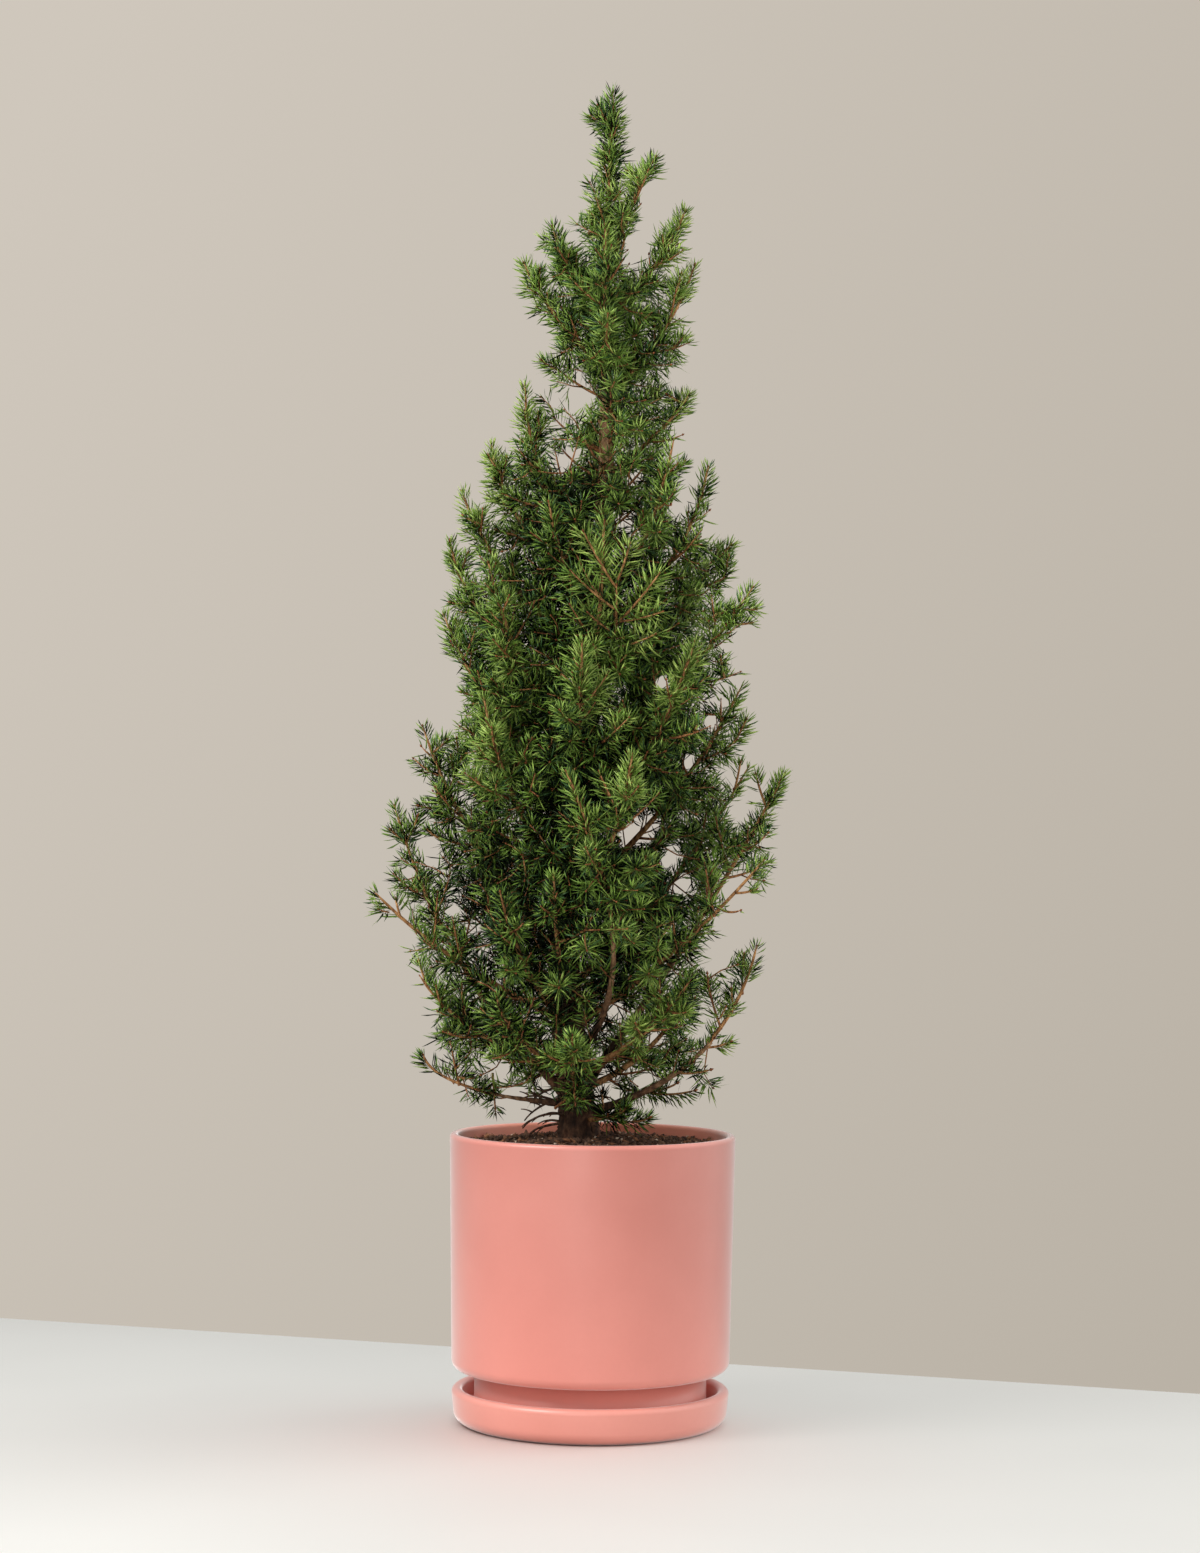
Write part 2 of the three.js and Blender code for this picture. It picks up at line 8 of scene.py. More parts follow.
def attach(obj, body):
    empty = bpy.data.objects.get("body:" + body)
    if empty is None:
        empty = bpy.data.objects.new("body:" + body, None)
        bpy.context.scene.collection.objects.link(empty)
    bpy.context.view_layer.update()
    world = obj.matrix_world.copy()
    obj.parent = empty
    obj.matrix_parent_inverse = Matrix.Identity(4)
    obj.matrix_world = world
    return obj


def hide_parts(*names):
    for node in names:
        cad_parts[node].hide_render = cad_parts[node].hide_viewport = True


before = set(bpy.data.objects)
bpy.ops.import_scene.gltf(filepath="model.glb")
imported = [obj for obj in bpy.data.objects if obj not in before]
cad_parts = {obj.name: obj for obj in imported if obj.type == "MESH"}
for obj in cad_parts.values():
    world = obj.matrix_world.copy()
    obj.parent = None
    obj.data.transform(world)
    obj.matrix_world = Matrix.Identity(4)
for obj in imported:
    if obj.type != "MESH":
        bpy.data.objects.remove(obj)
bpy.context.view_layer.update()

# Everything is worked out in millimetres and turned into metres as the meshes are made.
# Heights named h are above the soil at the trunk.

UP = np.array([0.0, 0.0, 1.0])
FLAT = np.array([1, 1, 0])
TURN = 2 * math.pi
GOLDEN = math.radians(137.5)
FILL_SEED, NEEDLE_SEED, BARK_SEED = 5, 11, 7

# Where the camera stands, before the plant and above the table
EYE = dict(across=2.0, back=1720.0, height=313.2)

# Pot, saucer and soil: the same sizes as the solids

SAUCER = dict(rim=79.4, base=78.4, height=20.4, wall=6.6, floor=6.7, base_round=8.0, inner_round=3.0)
POT = dict(top=82.0, bottom=79.7, foot=66.5, foot_height=23.4, body=134.3, wall=5.0, floor=7.0)
SOIL = dict(below_rim=7, mound_height=4.0, mound_flat=24.0, mound_radius=60.0, bed=77.2)
POT_BASE = SAUCER["floor"] + 0.3
BODY_BASE = POT_BASE + POT["foot_height"]
RIM = BODY_BASE + POT["body"]
GROUND = RIM - SOIL["below_rim"] + SOIL["mound_height"]

# The spruce: the same rule as the solids, carried to finer twigs

TRUNK = dict(
    height=518, radius=10.8, tip=2.0, taper=0.85, flare=2.8, flare_height=9, foot_across=-8, lean=0.0105,
    bow=9, bow_height=110, bow_span=120, back=16, back_from=150, back_to=400, weave=4, weave_height=95,
)
TOP = TRUNK["height"]
# Radius of a limb at its root, what its length adds, its radius at the tip, its taper and the needles past it
LIMB = dict(root=1.4, length_per_radius=110, tip=0.9, taper=0.8, past=12)
# What boughs narrow to, as a share of their root, and how soon
BOUGH = dict(end=0.46, taper=0.5)
PLUME = dict(tip=2.0, widens=0.46, most=38, core=0.62)
CLEAR_OF_TRUNK = 1.4
TWIG = dict(spacing=11, first=18, spare=10, angle=math.radians(54), share=0.62, short=14, long=42)
TWIG_RISE, TWIG_UNEVEN, TWIG_CUT = 0.2, 0.18, 0.8
CROWN = np.array([
    [0, 60], [25, 88], [60, 100], [100, 108], [150, 118], [210, 110], [260, 92], [310, 86],
    [370, 74], [400, 60], [430, 47], [500, 47], [535, 40], [570, 26], [610, 8],
], float)

# name, height on the trunk, way it points, reach, top, sweep, then veer, bare share and radius
LIMBS = [
    ("low_front", 10, 302, 46, 18, 0.1),
    ("low_left", 19, 184, 103, 50, 0.3, 0, 0.46, 1.9),
    ("low_right", 13, -12, 97, 112, 0.28, 0, 0.6, 3.1),
    ("front_low", 32, 262, 80, 64, 0.2),
    ("front_left_low", 38, 232, 90, 84, 0.2),
    ("left_low", 36, 198, 107, 94, 0.16),
    ("back_left_low", 28, 135, 94, 86, 0.24),
    ("back_right_low", 26, 48, 92, 94, 0.24),
    ("front_right_low", 36, 312, 86, 94, 0.12),
    ("left_limb", 20, 175, 117, 190, 0.15, 0, 0.44, 3.6),
    ("right_limb", 24, -6, 113, 211, 0.04, 0, 0.5, 3.7),
    ("front_limb", 44, 260, 88, 206, 0.2, 50, 0.62, 3),
    ("left_reach", 66, 188, 130, 140, 0.08),
    ("front_left", 66, 238, 98, 142, 0.16),
    ("back_left", 72, 130, 102, 158, 0.18),
    ("back_right", 68, 66, 96, 160, 0.18),
    ("right_side", 62, -28, 112, 160, 0.06),
    ("left_mid", 114, 178, 100, 236, 0.14),
    ("right_mid", 134, 4, 89, 262, 0.1),
    ("right_mid_back", 84, 27, 106, 216, 0.08),
    ("front_mid_right", 124, 284, 94, 218, 0.2),
    ("front_centre", 80, 257, 95, 152, 0.18),
    ("front_left_mid", 146, 224, 86, 250, 0.16),
    ("back_mid", 130, 100, 94, 238, 0.18),
    ("left_upper", 198, 186, 88, 300, 0.14),
    ("right_upper", 208, -16, 98, 316, 0.06),
    ("front_upper", 186, 266, 82, 280, 0.2),
    ("front_right_upper", 176, 314, 84, 282, 0.16),
    ("front_left_upper", 222, 220, 78, 326, 0.16),
    ("back_upper_left", 206, 138, 84, 306, 0.18),
    ("back_upper_right", 200, 58, 82, 298, 0.18),
    ("left_between", 238, 172, 86, 338, 0.14),
    ("left_high", 276, 184, 78, 372, 0.14),
    ("right_high", 262, 17, 80, 346, 0.16),
    ("right_spire", 296, -12, 69, 386, 0.24),
    ("front_fan", 238, 276, 62, 348, 0.24),
    ("front_right_high", 300, 324, 58, 398, 0.16),
    ("front_left_high", 296, 240, 52, 362, 0.14),
    ("back_high", 282, 98, 62, 370, 0.2),
    ("left_spire", 318, 168, 62, 402, 0.24),
    ("left_candle", 344, 200, 42, 430, 0.34),
    ("right_top", 382, -6, 60, 430, 0.06),
    ("back_top", 366, 92, 44, 428, 0.2),
    ("right_arm", 428, 2, 61, 506, 0.12),
    ("left_arm", 444, 176, 43, 507, 0.08),
    ("left_arm_high", 480, 196, 27, 527, 0.1),
    ("right_arm_high", 474, -4, 56, 537, 0.1),
    ("front_arm", 440, 282, 34, 520, 0.2),
    ("back_arm", 446, 88, 38, 512, 0.2),
    ("right_tip", 496, -8, 40, 569, -0.1),
    ("leader", 518, 0, 12, 609, 0),
]

# Limbs that are blunt columns of needles, with hardly a side twig
COLUMNS = ("leader", "left_arm", "left_arm_high", "right_arm", "right_arm_high", "right_tip", "front_arm",
           "back_arm", "left_candle")

# The fan of twigs in front: where each starts and ends as the camera sees it, with its depth, and its radius
FAN = [
    ((10, 270, -30), (10.5, 319, -60), 1.4), ((10, 318, -59), (-9, 350, -70), 0.75),
    ((11, 322, -60), (18, 343, -66), 0.7), ((10, 305, -53), (-16, 327, -72), 0.7),
    ((11, 297, -50), (35, 326, -70), 0.75), ((11, 298, -50), (37, 304, -66), 0.6),
    ((10, 291, -46), (-6, 303, -64), 0.55), ((10, 283, -40), (33, 291, -66), 0.55),
]
# Nothing else grows before the fan: its middle as the camera sees it, the room round it, and its depth
FAN_ROOM = dict(across=9, height=318, radius=27, front=-46)

# Twigs at the trunk's foot: one hangs from the low left bough, one crosses the trunk
FOOT = [
    ((-58, 37, -2), (-56, 14, -6), 0.6), ((-22, 17, -15), (1, 40, -34), 0.8),
    ((-12, 28, -24), (-2, 22, -36), 0.5), ((-76, 37, -2), (-72, 24, -8), 0.45),
]

# Where the upper trunk shows, as the camera sees it: across, height, half the width, half the height
FEW_SHOOTS = (-3, 418, 9, 30)
FEW_NEEDLES = (4, 406, 5.5, 26)

# Short needled twigs straight from the upper trunk: height, turn, reach, top
SPRIGS = [
    (428, 178, 24, 448), (396, 186, 23, 416), (404, 3, 32, 428), (368, -4, 35, 396), (380, 200, 20, 398),
    (352, 352, 30, 372), (412, 300, 20, 432), (386, 250, 18, 404), (340, 190, 30, 362), (450, 350, 24, 470),
    (462, 186, 22, 484), (476, 20, 24, 496), (488, 200, 20, 506), (500, 340, 20, 522), (430, 90, 22, 450),
    (470, 110, 20, 492), (360, 100, 26, 384),
]

# Spots of open sky as the camera sees them: across, height, radius
SKY = np.array([
    [84, 123, 10], [29, 539, 8], [21, 516, 6], [73, 109, 6], [25, 527, 5], [-14, 430, 5.5], [50, 409, 5.5],
    [83, 275, 5.5], [-104, 203, 5], [-49, 20, 5], [35, 550, 4.5], [46, 441, 4.5], [-35, 436, 4.5],
    [50, 372, 5], [-36, 465, 4], [48, 400, 4], [-85, 253, 6], [72, 253, 4], [90, 199, 4], [19, 173, 6],
    [31, 183, 6], [-97, 66, 4.5], [-53, 38, 5], [-80, 29, 4], [-18, 522, 3.5], [-22, 392, 5], [53, 382, 4],
    [68, 360, 5], [84, 291, 3.5], [-90, 31, 3.5], [-41, 23, 3.5], [49, 519, 3], [47, 478, 3], [-71, 370, 3],
    [76, 316, 3], [45, 164, 5], [72, 99, 3], [63, 45, 3], [13, 26, 4], [9, 21, 3], [-108, 116, 3],
    [-15, 541, 5], [20, 381, 4.5], [48, 145, 5], [37, 264, 4.5], [54, 218, 4], [66, 241, 5], [82, 147, 6],
    [90, 134, 6], [-114, 121, 6], [-115, 101, 6], [-100, 84, 5], [-96, 162, 4.5], [-83, 131, 4],
    [-71, 121, 4], [-119, 167, 4], [-90, 271, 5], [-104, 223, 4], [68, 52, 7], [76, 67, 6], [72, 41, 7],
    [35, 58, 5], [28, 33, 5], [13, 75, 4.5], [47, 29, 5], [-95, 41, 4.5], [-30, 33, 4], [76, 284, 4],
    [46, 337, 4], [15, 356, 4.5], [81, 140, 8], [-13, 429, 8], [26, 177, 8], [-88, 32, 6], [-46, 25, 6],
    [27, 548, 6], [55, 32, 5], [-109, 114, 5], [-16, 396, 5], [87, 86, 5], [17, 509, 5], [48, 480, 5],
    [-96, 76, 4.5], [67, 99, 4.5], [-24, 413, 4.5], [-58, 41, 4], [63, 350, 4], [-102, 95, 4],
    [-108, 152, 4], [33, 35, 3.5], [21, 382, 3.5], [95, 137, 4], [19, 42, 3.5], [79, 207, 3.5],
    [-99, 229, 3.5], [86, 289, 6], [31, 181, 6], [-117, 133, 6], [-49, 23, 6], [89, 84, 6], [94, 203, 5.5],
    [87, 150, 6], [-96, 33, 5], [-73, 28, 4.5], [-86, 248, 5], [-13, 437, 5], [74, 125, 5], [38, 60, 4.5],
    [-106, 92, 4.5], [93, 108, 4], [16, 520, 4], [42, 160, 4], [45, 364, 4], [-27, 426, 4], [52, 147, 4],
    [9, 21, 3.5], [82, 192, 4], [84, 214, 4], [49, 457, 3.5], [-99, 136, 3.5], [-96, 199, 3.5],
    [-95, 168, 3], [82, 265, 3], [72, 262, 3], [-50, 22, 7], [-16, 434, 6], [-74, 29, 5], [44, 400, 4.5],
    [88, 89, 4.5], [-111, 128, 5], [-123, 139, 4.5], [-95, 48, 4.5], [-86, 267, 4.5], [-57, 38, 4],
    [78, 130, 4], [46, 412, 4], [-24, 388, 4], [68, 363, 4], [87, 295, 4.5], [99, 171, 4], [82, 211, 4],
    [21, 42, 4], [29, 552, 4], [-96, 170, 4],
])

# Tufts that stand out from the edge as the camera sees them: across, height
TUFTS = [
    (71, 284), (92, 150), (-101, 106), (26, 485), (-115, 142), (-78, 262), (15, 566), (48, 470), (-81, 235),
    (-77, 228), (34, 440), (23, 482), (-3, 604), (-7, 598), (-102, 196), (76, 349), (5, 32), (65, 101),
    (-103, 190), (-97, 182), (-87, 234), (-84, 224), (-86, 349), (63, 251), (75, 342), (39, 436),
    (-82, 303), (86, 248), (-59, 356), (-36, 508), (-76, 342), (79, 92), (-34, 455), (-36, 424), (91, 312),
    (86, 112), (49, 397), (46, 506), (-118, 182), (-54, 398), (77, 313), (-64, 399), (39, 499), (-50, 341),
    (-78, 364), (83, 223), (106, 213), (92, 216), (-70, 40), (-85, 314), (32, 18), (88, 304), (-92, 192),
    (-61, 34), (57, 50), (69, 64), (48, 38), (76, 76), (67, 46), (58, 34), (78, 62),
]


def chance(*keys):
    """The solids' repeatable number from 0 to 1 for these whole numbers."""
    mixed = 2166136261
    for key in keys:
        mixed = ((mixed ^ key) * 16777619) & 0xFFFFFFFF
        mixed ^= mixed >> 13
        mixed = (mixed * 1540483477) & 0xFFFFFFFF
        mixed ^= mixed >> 15
    return mixed / 4294967296


def around(middle, spread, *keys):
    return middle + spread * (2 * chance(*keys) - 1)


def smooth(low, high, value):
    share = np.clip((np.asarray(value, float) - low) / (high - low), 0, 1)
    return share * share * (3 - 2 * share)


def unit(vectors):
    return vectors / np.maximum(np.linalg.norm(vectors, axis=-1, keepdims=True), 1e-9)


def way(angle):
    """The level direction that points this way."""
    return np.array([math.cos(angle), math.sin(angle), 0])


def trunk_centre(h):
    h = np.asarray(h, float)
    from_bow = np.minimum(1, np.abs(h - TRUNK["bow_height"]) / TRUNK["bow_span"])
    bow = TRUNK["bow"] * (1 + np.cos(math.pi * from_bow)) / 2
    back = TRUNK["back"] * smooth(TRUNK["back_from"], TRUNK["back_to"], h)
    across = TRUNK["foot_across"] - bow + back - TRUNK["lean"] * h
    return np.stack([across, TRUNK["weave"] * np.sin(h / TRUNK["weave_height"]), GROUND + h], -1)


def trunk_radius(h):
    left = np.maximum(0, 1 - np.asarray(h, float) / TOP)
    body = TRUNK["tip"] + (TRUNK["radius"] - TRUNK["tip"]) * left ** TRUNK["taper"]
    return body + TRUNK["flare"] * np.exp(-np.asarray(h, float) / TRUNK["flare_height"])


def bezier(curve, t):
    """Points of curves (..., 3, 3) at shares t (...)."""
    t = np.asarray(t, float)[..., None]
    return (1 - t) ** 2 * curve[..., 0, :] + 2 * t * (1 - t) * curve[..., 1, :] + t * t * curve[..., 2, :]


def heading(curve, t):
    t = np.asarray(t, float)[..., None]
    return unit((1 - t) * (curve[..., 1, :] - curve[..., 0, :]) + t * (curve[..., 2, :] - curve[..., 1, :]))


def frames(direction, steady):
    """Two directions square to each direction, which don't flip along a curve."""
    hint = np.where(np.abs(steady[..., 2:3]) > 0.9, np.array([0.0, 1.0, 0.0]), UP)
    side = unit(np.cross(direction, hint))
    return side, np.cross(side, direction)


class Limb:
    """One curve from the trunk to a tip, bare as far as the share named bare."""

    def __init__(self, index, name, root, turn, reach, top, sweep, veer=0, bare=0, radius=None):
        self.index, self.name, self.root, self.bare = index, name, root, bare
        start, angle = trunk_centre(root), math.radians(turn)
        end = np.array([reach * math.cos(angle) - TRUNK["lean"] * top, reach * math.sin(angle), GROUND + top])
        across = end - start
        bend = start + across * np.array([0.5 + sweep, 0.5 + sweep, 0.5 - sweep])
        bend += veer * way(angle + TURN / 4)
        end = end - unit(end - bend) * LIMB["past"]
        self.curve = np.array([start, bend, end])
        self.line = bezier(self.curve, np.linspace(0, 1, 11))
        self.length = np.linalg.norm(np.diff(self.line, axis=0), axis=1).sum()
        self.stem_line = bezier(self.curve, np.linspace(bare, 1, 11))
        self.root_radius = radius or LIMB["root"] + self.length / LIMB["length_per_radius"]
        self.stem_radius = self.root_radius * (BOUGH["end"] if bare else 1)

    def bough_radius(self, t):
        """Bark radius along a bough and on into its mass."""
        narrowed = np.minimum(1, t / self.bare) ** BOUGH["taper"]
        inner = self.root_radius + (self.stem_radius - self.root_radius) * narrowed
        to_tip = np.maximum(0, (t - self.bare) / (1 - self.bare)) ** LIMB["taper"]
        return inner + (LIMB["tip"] - inner) * to_tip


limbs = [Limb(index, *size) for index, size in enumerate(LIMBS)]
whole_lines = np.array([limb.line for limb in limbs])
stem_lines = np.array([limb.stem_line for limb in limbs])


def line_distances(points, lines):
    """Distance from each of n points to each of m lines."""
    start, stretch = lines[:, :-1], np.diff(lines, axis=1)
    offset = points[:, None, None] - start[None]
    share = np.clip((offset * stretch).sum(-1) / (stretch ** 2).sum(-1), 0, 1)
    return np.linalg.norm(offset - share[..., None] * stretch, axis=-1).min(-1)


def in_plume(points):
    """True for points within a limb's plume, which is blunt at the limb's tip and widens inwards."""
    inside = np.zeros(len(points), bool)
    for limb in limbs:
        line = limb.stem_line
        start, stretch = line[:-1], np.diff(line, axis=0)
        sizes = np.linalg.norm(stretch, axis=1)
        before = np.concatenate([[0], np.cumsum(sizes)[:-1]])
        offset = points[:, None] - start
        share = np.clip((offset * stretch).sum(-1) / sizes ** 2, 0, 1)
        far = np.linalg.norm(offset - share[..., None] * stretch, axis=-1)
        nearest = far.argmin(1)
        row = np.arange(len(points))
        to_tip = sizes.sum() - before[nearest] - share[row, nearest] * sizes[nearest]
        inside |= far[row, nearest] < np.minimum(PLUME["most"], PLUME["tip"] + PLUME["widens"] * to_tip)
    return inside


def from_trunk(points):
    centre = trunk_centre(np.clip(points[..., 2] - GROUND, 0, TOP))
    return np.hypot(points[..., 0] - centre[..., 0], points[..., 1] - centre[..., 1])


def edge(h):
    """How far out from the trunk the crown reaches."""
    return np.interp(h, CROWN[:, 0], CROWN[:, 1])


def share_out(points):
    """How far out in the crown points lie, from 0 at the trunk to 1 at its edge."""
    return from_trunk(points) / np.maximum(8, edge(points[..., 2] - GROUND))


def in_crown(points, more=0.0, lowest=5.5):
    h = points[..., 2] - GROUND
    return (h > lowest) & (from_trunk(points) < edge(h) + more)


def seen(points):
    """Where points stand across and in height as the camera sees them."""
    depth = EYE["back"] / (EYE["back"] + points[..., 1])
    across = EYE["across"] + (points[..., 0] - EYE["across"]) * depth
    return across, EYE["height"] + (points[..., 2] - EYE["height"]) * depth - GROUND


def unseen(across, h, y):
    """The point at depth y that the camera sees at this place."""
    depth = (EYE["back"] + y) / EYE["back"]
    x = EYE["across"] + (across - EYE["across"]) * depth
    return np.array([x, y, EYE["height"] + (GROUND + h - EYE["height"]) * depth])


def before_fan(points):
    """True for points that would stand before the fan."""
    across, h = seen(points)
    away = np.hypot(across - FAN_ROOM["across"], h - FAN_ROOM["height"])
    return (away < FAN_ROOM["radius"]) & (points[..., 1] < FAN_ROOM["front"])


def within(points, window):
    """True for points that the camera sees in this window."""
    across, h = seen(points)
    middle, middle_h, half, half_h = window
    return (np.abs(across - middle) < half) & (np.abs(h - middle_h) < half_h)


def hides_bough(points):
    """True for points in front of a bough, as the camera sees them."""
    hides = np.zeros(len(points), bool)
    across, h = seen(points)
    for limb in limbs:
        if limb.bare:
            wood = bezier(limb.curve, np.linspace(0.08, limb.bare, 14))
            wood_across, wood_h = seen(wood)
            near = np.hypot(across[:, None] - wood_across, h[:, None] - wood_h) < 8
            hides |= (near & (points[:, 1:2] < wood[:, 1] + 2)).any(1)
    return hides


def near_sky(points, room):
    """True for points that the camera sees in open sky or this near to it."""
    across, h = seen(points)
    away = np.hypot(across[..., None] - SKY[:, 0], h[..., None] - SKY[:, 1])
    return (away < SKY[:, 2] + room).any(-1)


def sky_depth(points):
    """How deep points lie in a ragged spot of open sky, from 0 at its edge to 1 in its middle."""
    across, h = seen(points)
    across, h = across[..., None] - SKY[:, 0], h[..., None] - SKY[:, 1]
    angle, spin = np.arctan2(h, across), np.arange(len(SKY))
    ragged = 1.06 + 0.28 * np.sin(3 * angle + 1.7 * spin) + 0.18 * np.sin(7 * angle + 2.9 * spin)
    return np.clip(1 - np.hypot(across, h) / (SKY[:, 2] * ragged), 0, 1).max(-1)


def owns(index, points, more=0.0, margin=1.5):
    """True for points in the limb's own share of the crown, clear of wood."""
    points = np.atleast_2d(points)
    h = points[:, 2] - GROUND
    clear = (h > TOP) | (from_trunk(points) > trunk_radius(np.clip(h, 0, TOP)) + CLEAR_OF_TRUNK)
    far = line_distances(points, whole_lines)
    own = line_distances(points, stem_lines[index:index + 1])[:, 0]
    far[:, index] = np.inf
    return in_crown(points, more) & clear & (far.min(1) > own + margin)


def twigs_of(limb):
    """The limb's twigs by the solids' rule: all of them, not only those that the solids show."""
    made = []
    stem_length = limb.length * (1 - limb.bare)
    spare = TWIG["spare"] + (0 if limb.bare else float(trunk_radius(limb.root)))
    steady = heading(limb.curve, 0.5)
    order = 0
    while True:
        from_tip = TWIG["first"] + order * TWIG["spacing"] * around(1, TWIG_UNEVEN, limb.index, order, 1)
        if from_tip > stem_length - spare:
            return made
        at = 1 - from_tip / limb.length
        start, onward = bezier(limb.curve, at), heading(limb.curve, at)
        spin = order * GOLDEN + TURN * chance(limb.index, 2)
        side, over = frames(onward, steady)
        angle = TWIG["angle"] * around(1, TWIG_UNEVEN, limb.index, order, 3)
        out = side * math.cos(spin) + over * math.sin(spin)
        direction = onward * math.cos(angle) + out * math.sin(angle)
        wanted = TWIG["share"] * from_tip * around(1, TWIG_UNEVEN, limb.index, order, 4)
        length = min(TWIG["long"], max(TWIG["short"], wanted))
        while length >= TWIG["short"]:
            end = start + direction * length + UP * TWIG_RISE * length
            if owns(limb.index, end)[0]:
                made.append((np.array([start, start + direction * length / 2, end]), length))
                break
            length *= TWIG_CUT
        order += 1


# Shoots: every needled length of twig, as curve, length, bark radius at each end and kind

STEM, SIDE_TWIG, FINE, BLUNT, OPEN = range(5)
# Shoots along a twig: place of the first, spacing, share of the way to the tip, shortest, longest, angle
LEADER_SIDES = (4, 3.4, 0.35, 5, 8, math.radians(36))
COLUMN_SIDES = (6, 5, 0.45, 7, 9, math.radians(42))
STEM_SIDES = (6, 7, 0.45, 7, 13, math.radians(42))
TWIG_SIDES = (9, 11, 0.5, 6, 13, math.radians(54))

# How deep in a spot of open sky a twig or a fine shoot may end
TWIG_IN_SKY, FINE_IN_SKY = 0.15, 0.18

shoots = []


def add_shoot(curve, length, thick, thin, kind, bare=0.0):
    shoots.append(dict(curve=curve, length=length, thick=thick, thin=thin, kind=kind, bare=bare))


def grown_on(curve, length, further, lift=0.0):
    """A curve carried on past its end, and turned up a little there."""
    t = 1 + further / length
    return np.array([curve[0], curve[0] * (1 - t) + curve[1] * t, bezier(curve, t) + UP * lift])


def side_shoots(curve, length, sizes, limb, seed, thick):
    """Shoots along a twig, from its tip inwards, where they stay in the limb's share."""
    first, spacing, share, short, long, angle = sizes
    steady = heading(curve, 0.5)
    order = 0
    while True:
        from_tip = first + order * spacing * around(1, 0.2, seed, order, 11)
        if from_tip > length - 3:
            return
        at = 1 - from_tip / length
        start, onward = bezier(curve, at), heading(curve, at)
        spin = order * GOLDEN + TURN * chance(seed, 12)
        side, over = frames(onward, steady)
        lean = angle * around(1, 0.2, seed, order, 13)
        out = side * math.cos(spin) + over * math.sin(spin)
        direction = onward * math.cos(lean) + out * math.sin(lean)
        grown = min(long, max(short, share * from_tip * around(1, 0.3, seed, order, 14)))
        while grown >= short:
            end = start + direction * grown + UP * 0.22 * grown
            if owns(limb.index, end, 2.0, -4.0)[0]:
                bend = start + direction * grown * 0.5
                add_shoot(np.array([start, bend, end]), grown, thick, 0.55, FINE)
                break
            grown *= 0.8
        order += 1


def limb_shoots(limb):
    """A limb's own end, the shoots along it, its twigs and theirs."""
    leader, column = limb.name == "leader", limb.name in COLUMNS
    further = 6.0 if leader else 7.5
    add_shoot(grown_on(limb.curve, limb.length, further, 4.0), limb.length + further,
              min(limb.stem_radius, 2.4), 0.7, BLUNT if column else STEM,
              limb.bare / (1 + further / limb.length))
    if leader:
        side_shoots(limb.curve, limb.length, LEADER_SIDES, limb, 950, 0.6)
        return
    needled = limb.length * (1 - limb.bare)
    side_shoots(limb.curve, needled, COLUMN_SIDES if column else STEM_SIDES, limb, 900 + limb.index, 0.5)
    for number, (curve, length) in enumerate(twigs_of(limb)):
        if before_fan(curve[2]) or sky_depth(curve[2]) > TWIG_IN_SKY:
            continue
        add_shoot(grown_on(curve, length, 2.5), length + 2.5, 0.85, 0.45, SIDE_TWIG)
        side_shoots(curve, length, TWIG_SIDES, limb, 2000 + 40 * limb.index + number, 0.45)


def on_trunk(h, out):
    """Where a shoot that points this way starts on the trunk."""
    return trunk_centre(h) + out * trunk_radius(h) * 0.8


def trunk_shoots(number=70, lowest=340):
    """Short shoots and sprigs straight on the upper trunk, between the limbs."""
    for order in range(number):
        h = lowest + (TOP - lowest) * (order + 0.5) / number
        angle = order * GOLDEN + around(0, 0.4, order, 71)
        out = way(angle)
        start = on_trunk(h, out)
        grown = around(11, 4, order, 72)
        bend = start + out * grown * 0.5 + UP * grown * 0.2
        end = start + out * grown * 0.75 + UP * grown * 0.75
        add_shoot(np.array([start, bend, end]), grown, 0.6, 0.4, FINE)
    for h, turn, reach, top in SPRIGS:
        out = way(math.radians(turn))
        start = on_trunk(h, out)
        end = np.array([-TRUNK["lean"] * top, 0, GROUND + top]) + out * reach
        curve = np.array([start, (start + end) / 2 + out * 3 - UP * 2, end])
        add_shoot(curve, float(np.linalg.norm(end - start)), 0.9, 0.5, SIDE_TWIG)


for limb in limbs:
    limb_shoots(limb)
trunk_shoots()

# Fine shoots that fill the crown: how many places are tried, where, and how far apart they are looked up
FILL = dict(tries=100000, half=135, low=8, high=606, inner=0.16, outer=0.97, off_trunk=5, off_sky=3.0)
CELL = 16
# Room between fine shoots, and what is added low down, near the top and at the low sides
ROOM = dict(outer=9.6, inner=11.0, low=3.0, high=2.0, low_sides=2.5)
# What makes wood a bad start for a place: it is too near, too far, or the shoot would turn back
REACH = dict(start_costs=50, too_near=6, too_far=32, straight=14, least_forward=0.1)
NEIGHBOURS = [(dx, dy, dz) for dx in (-1, 0, 1) for dy in (-1, 0, 1) for dz in (-1, 0, 1)]


def lowest_spray(across):
    """Sprays stay higher in front of the trunk's foot than away from it."""
    return 20 + 30 * np.exp(-(across / 34) ** 2)


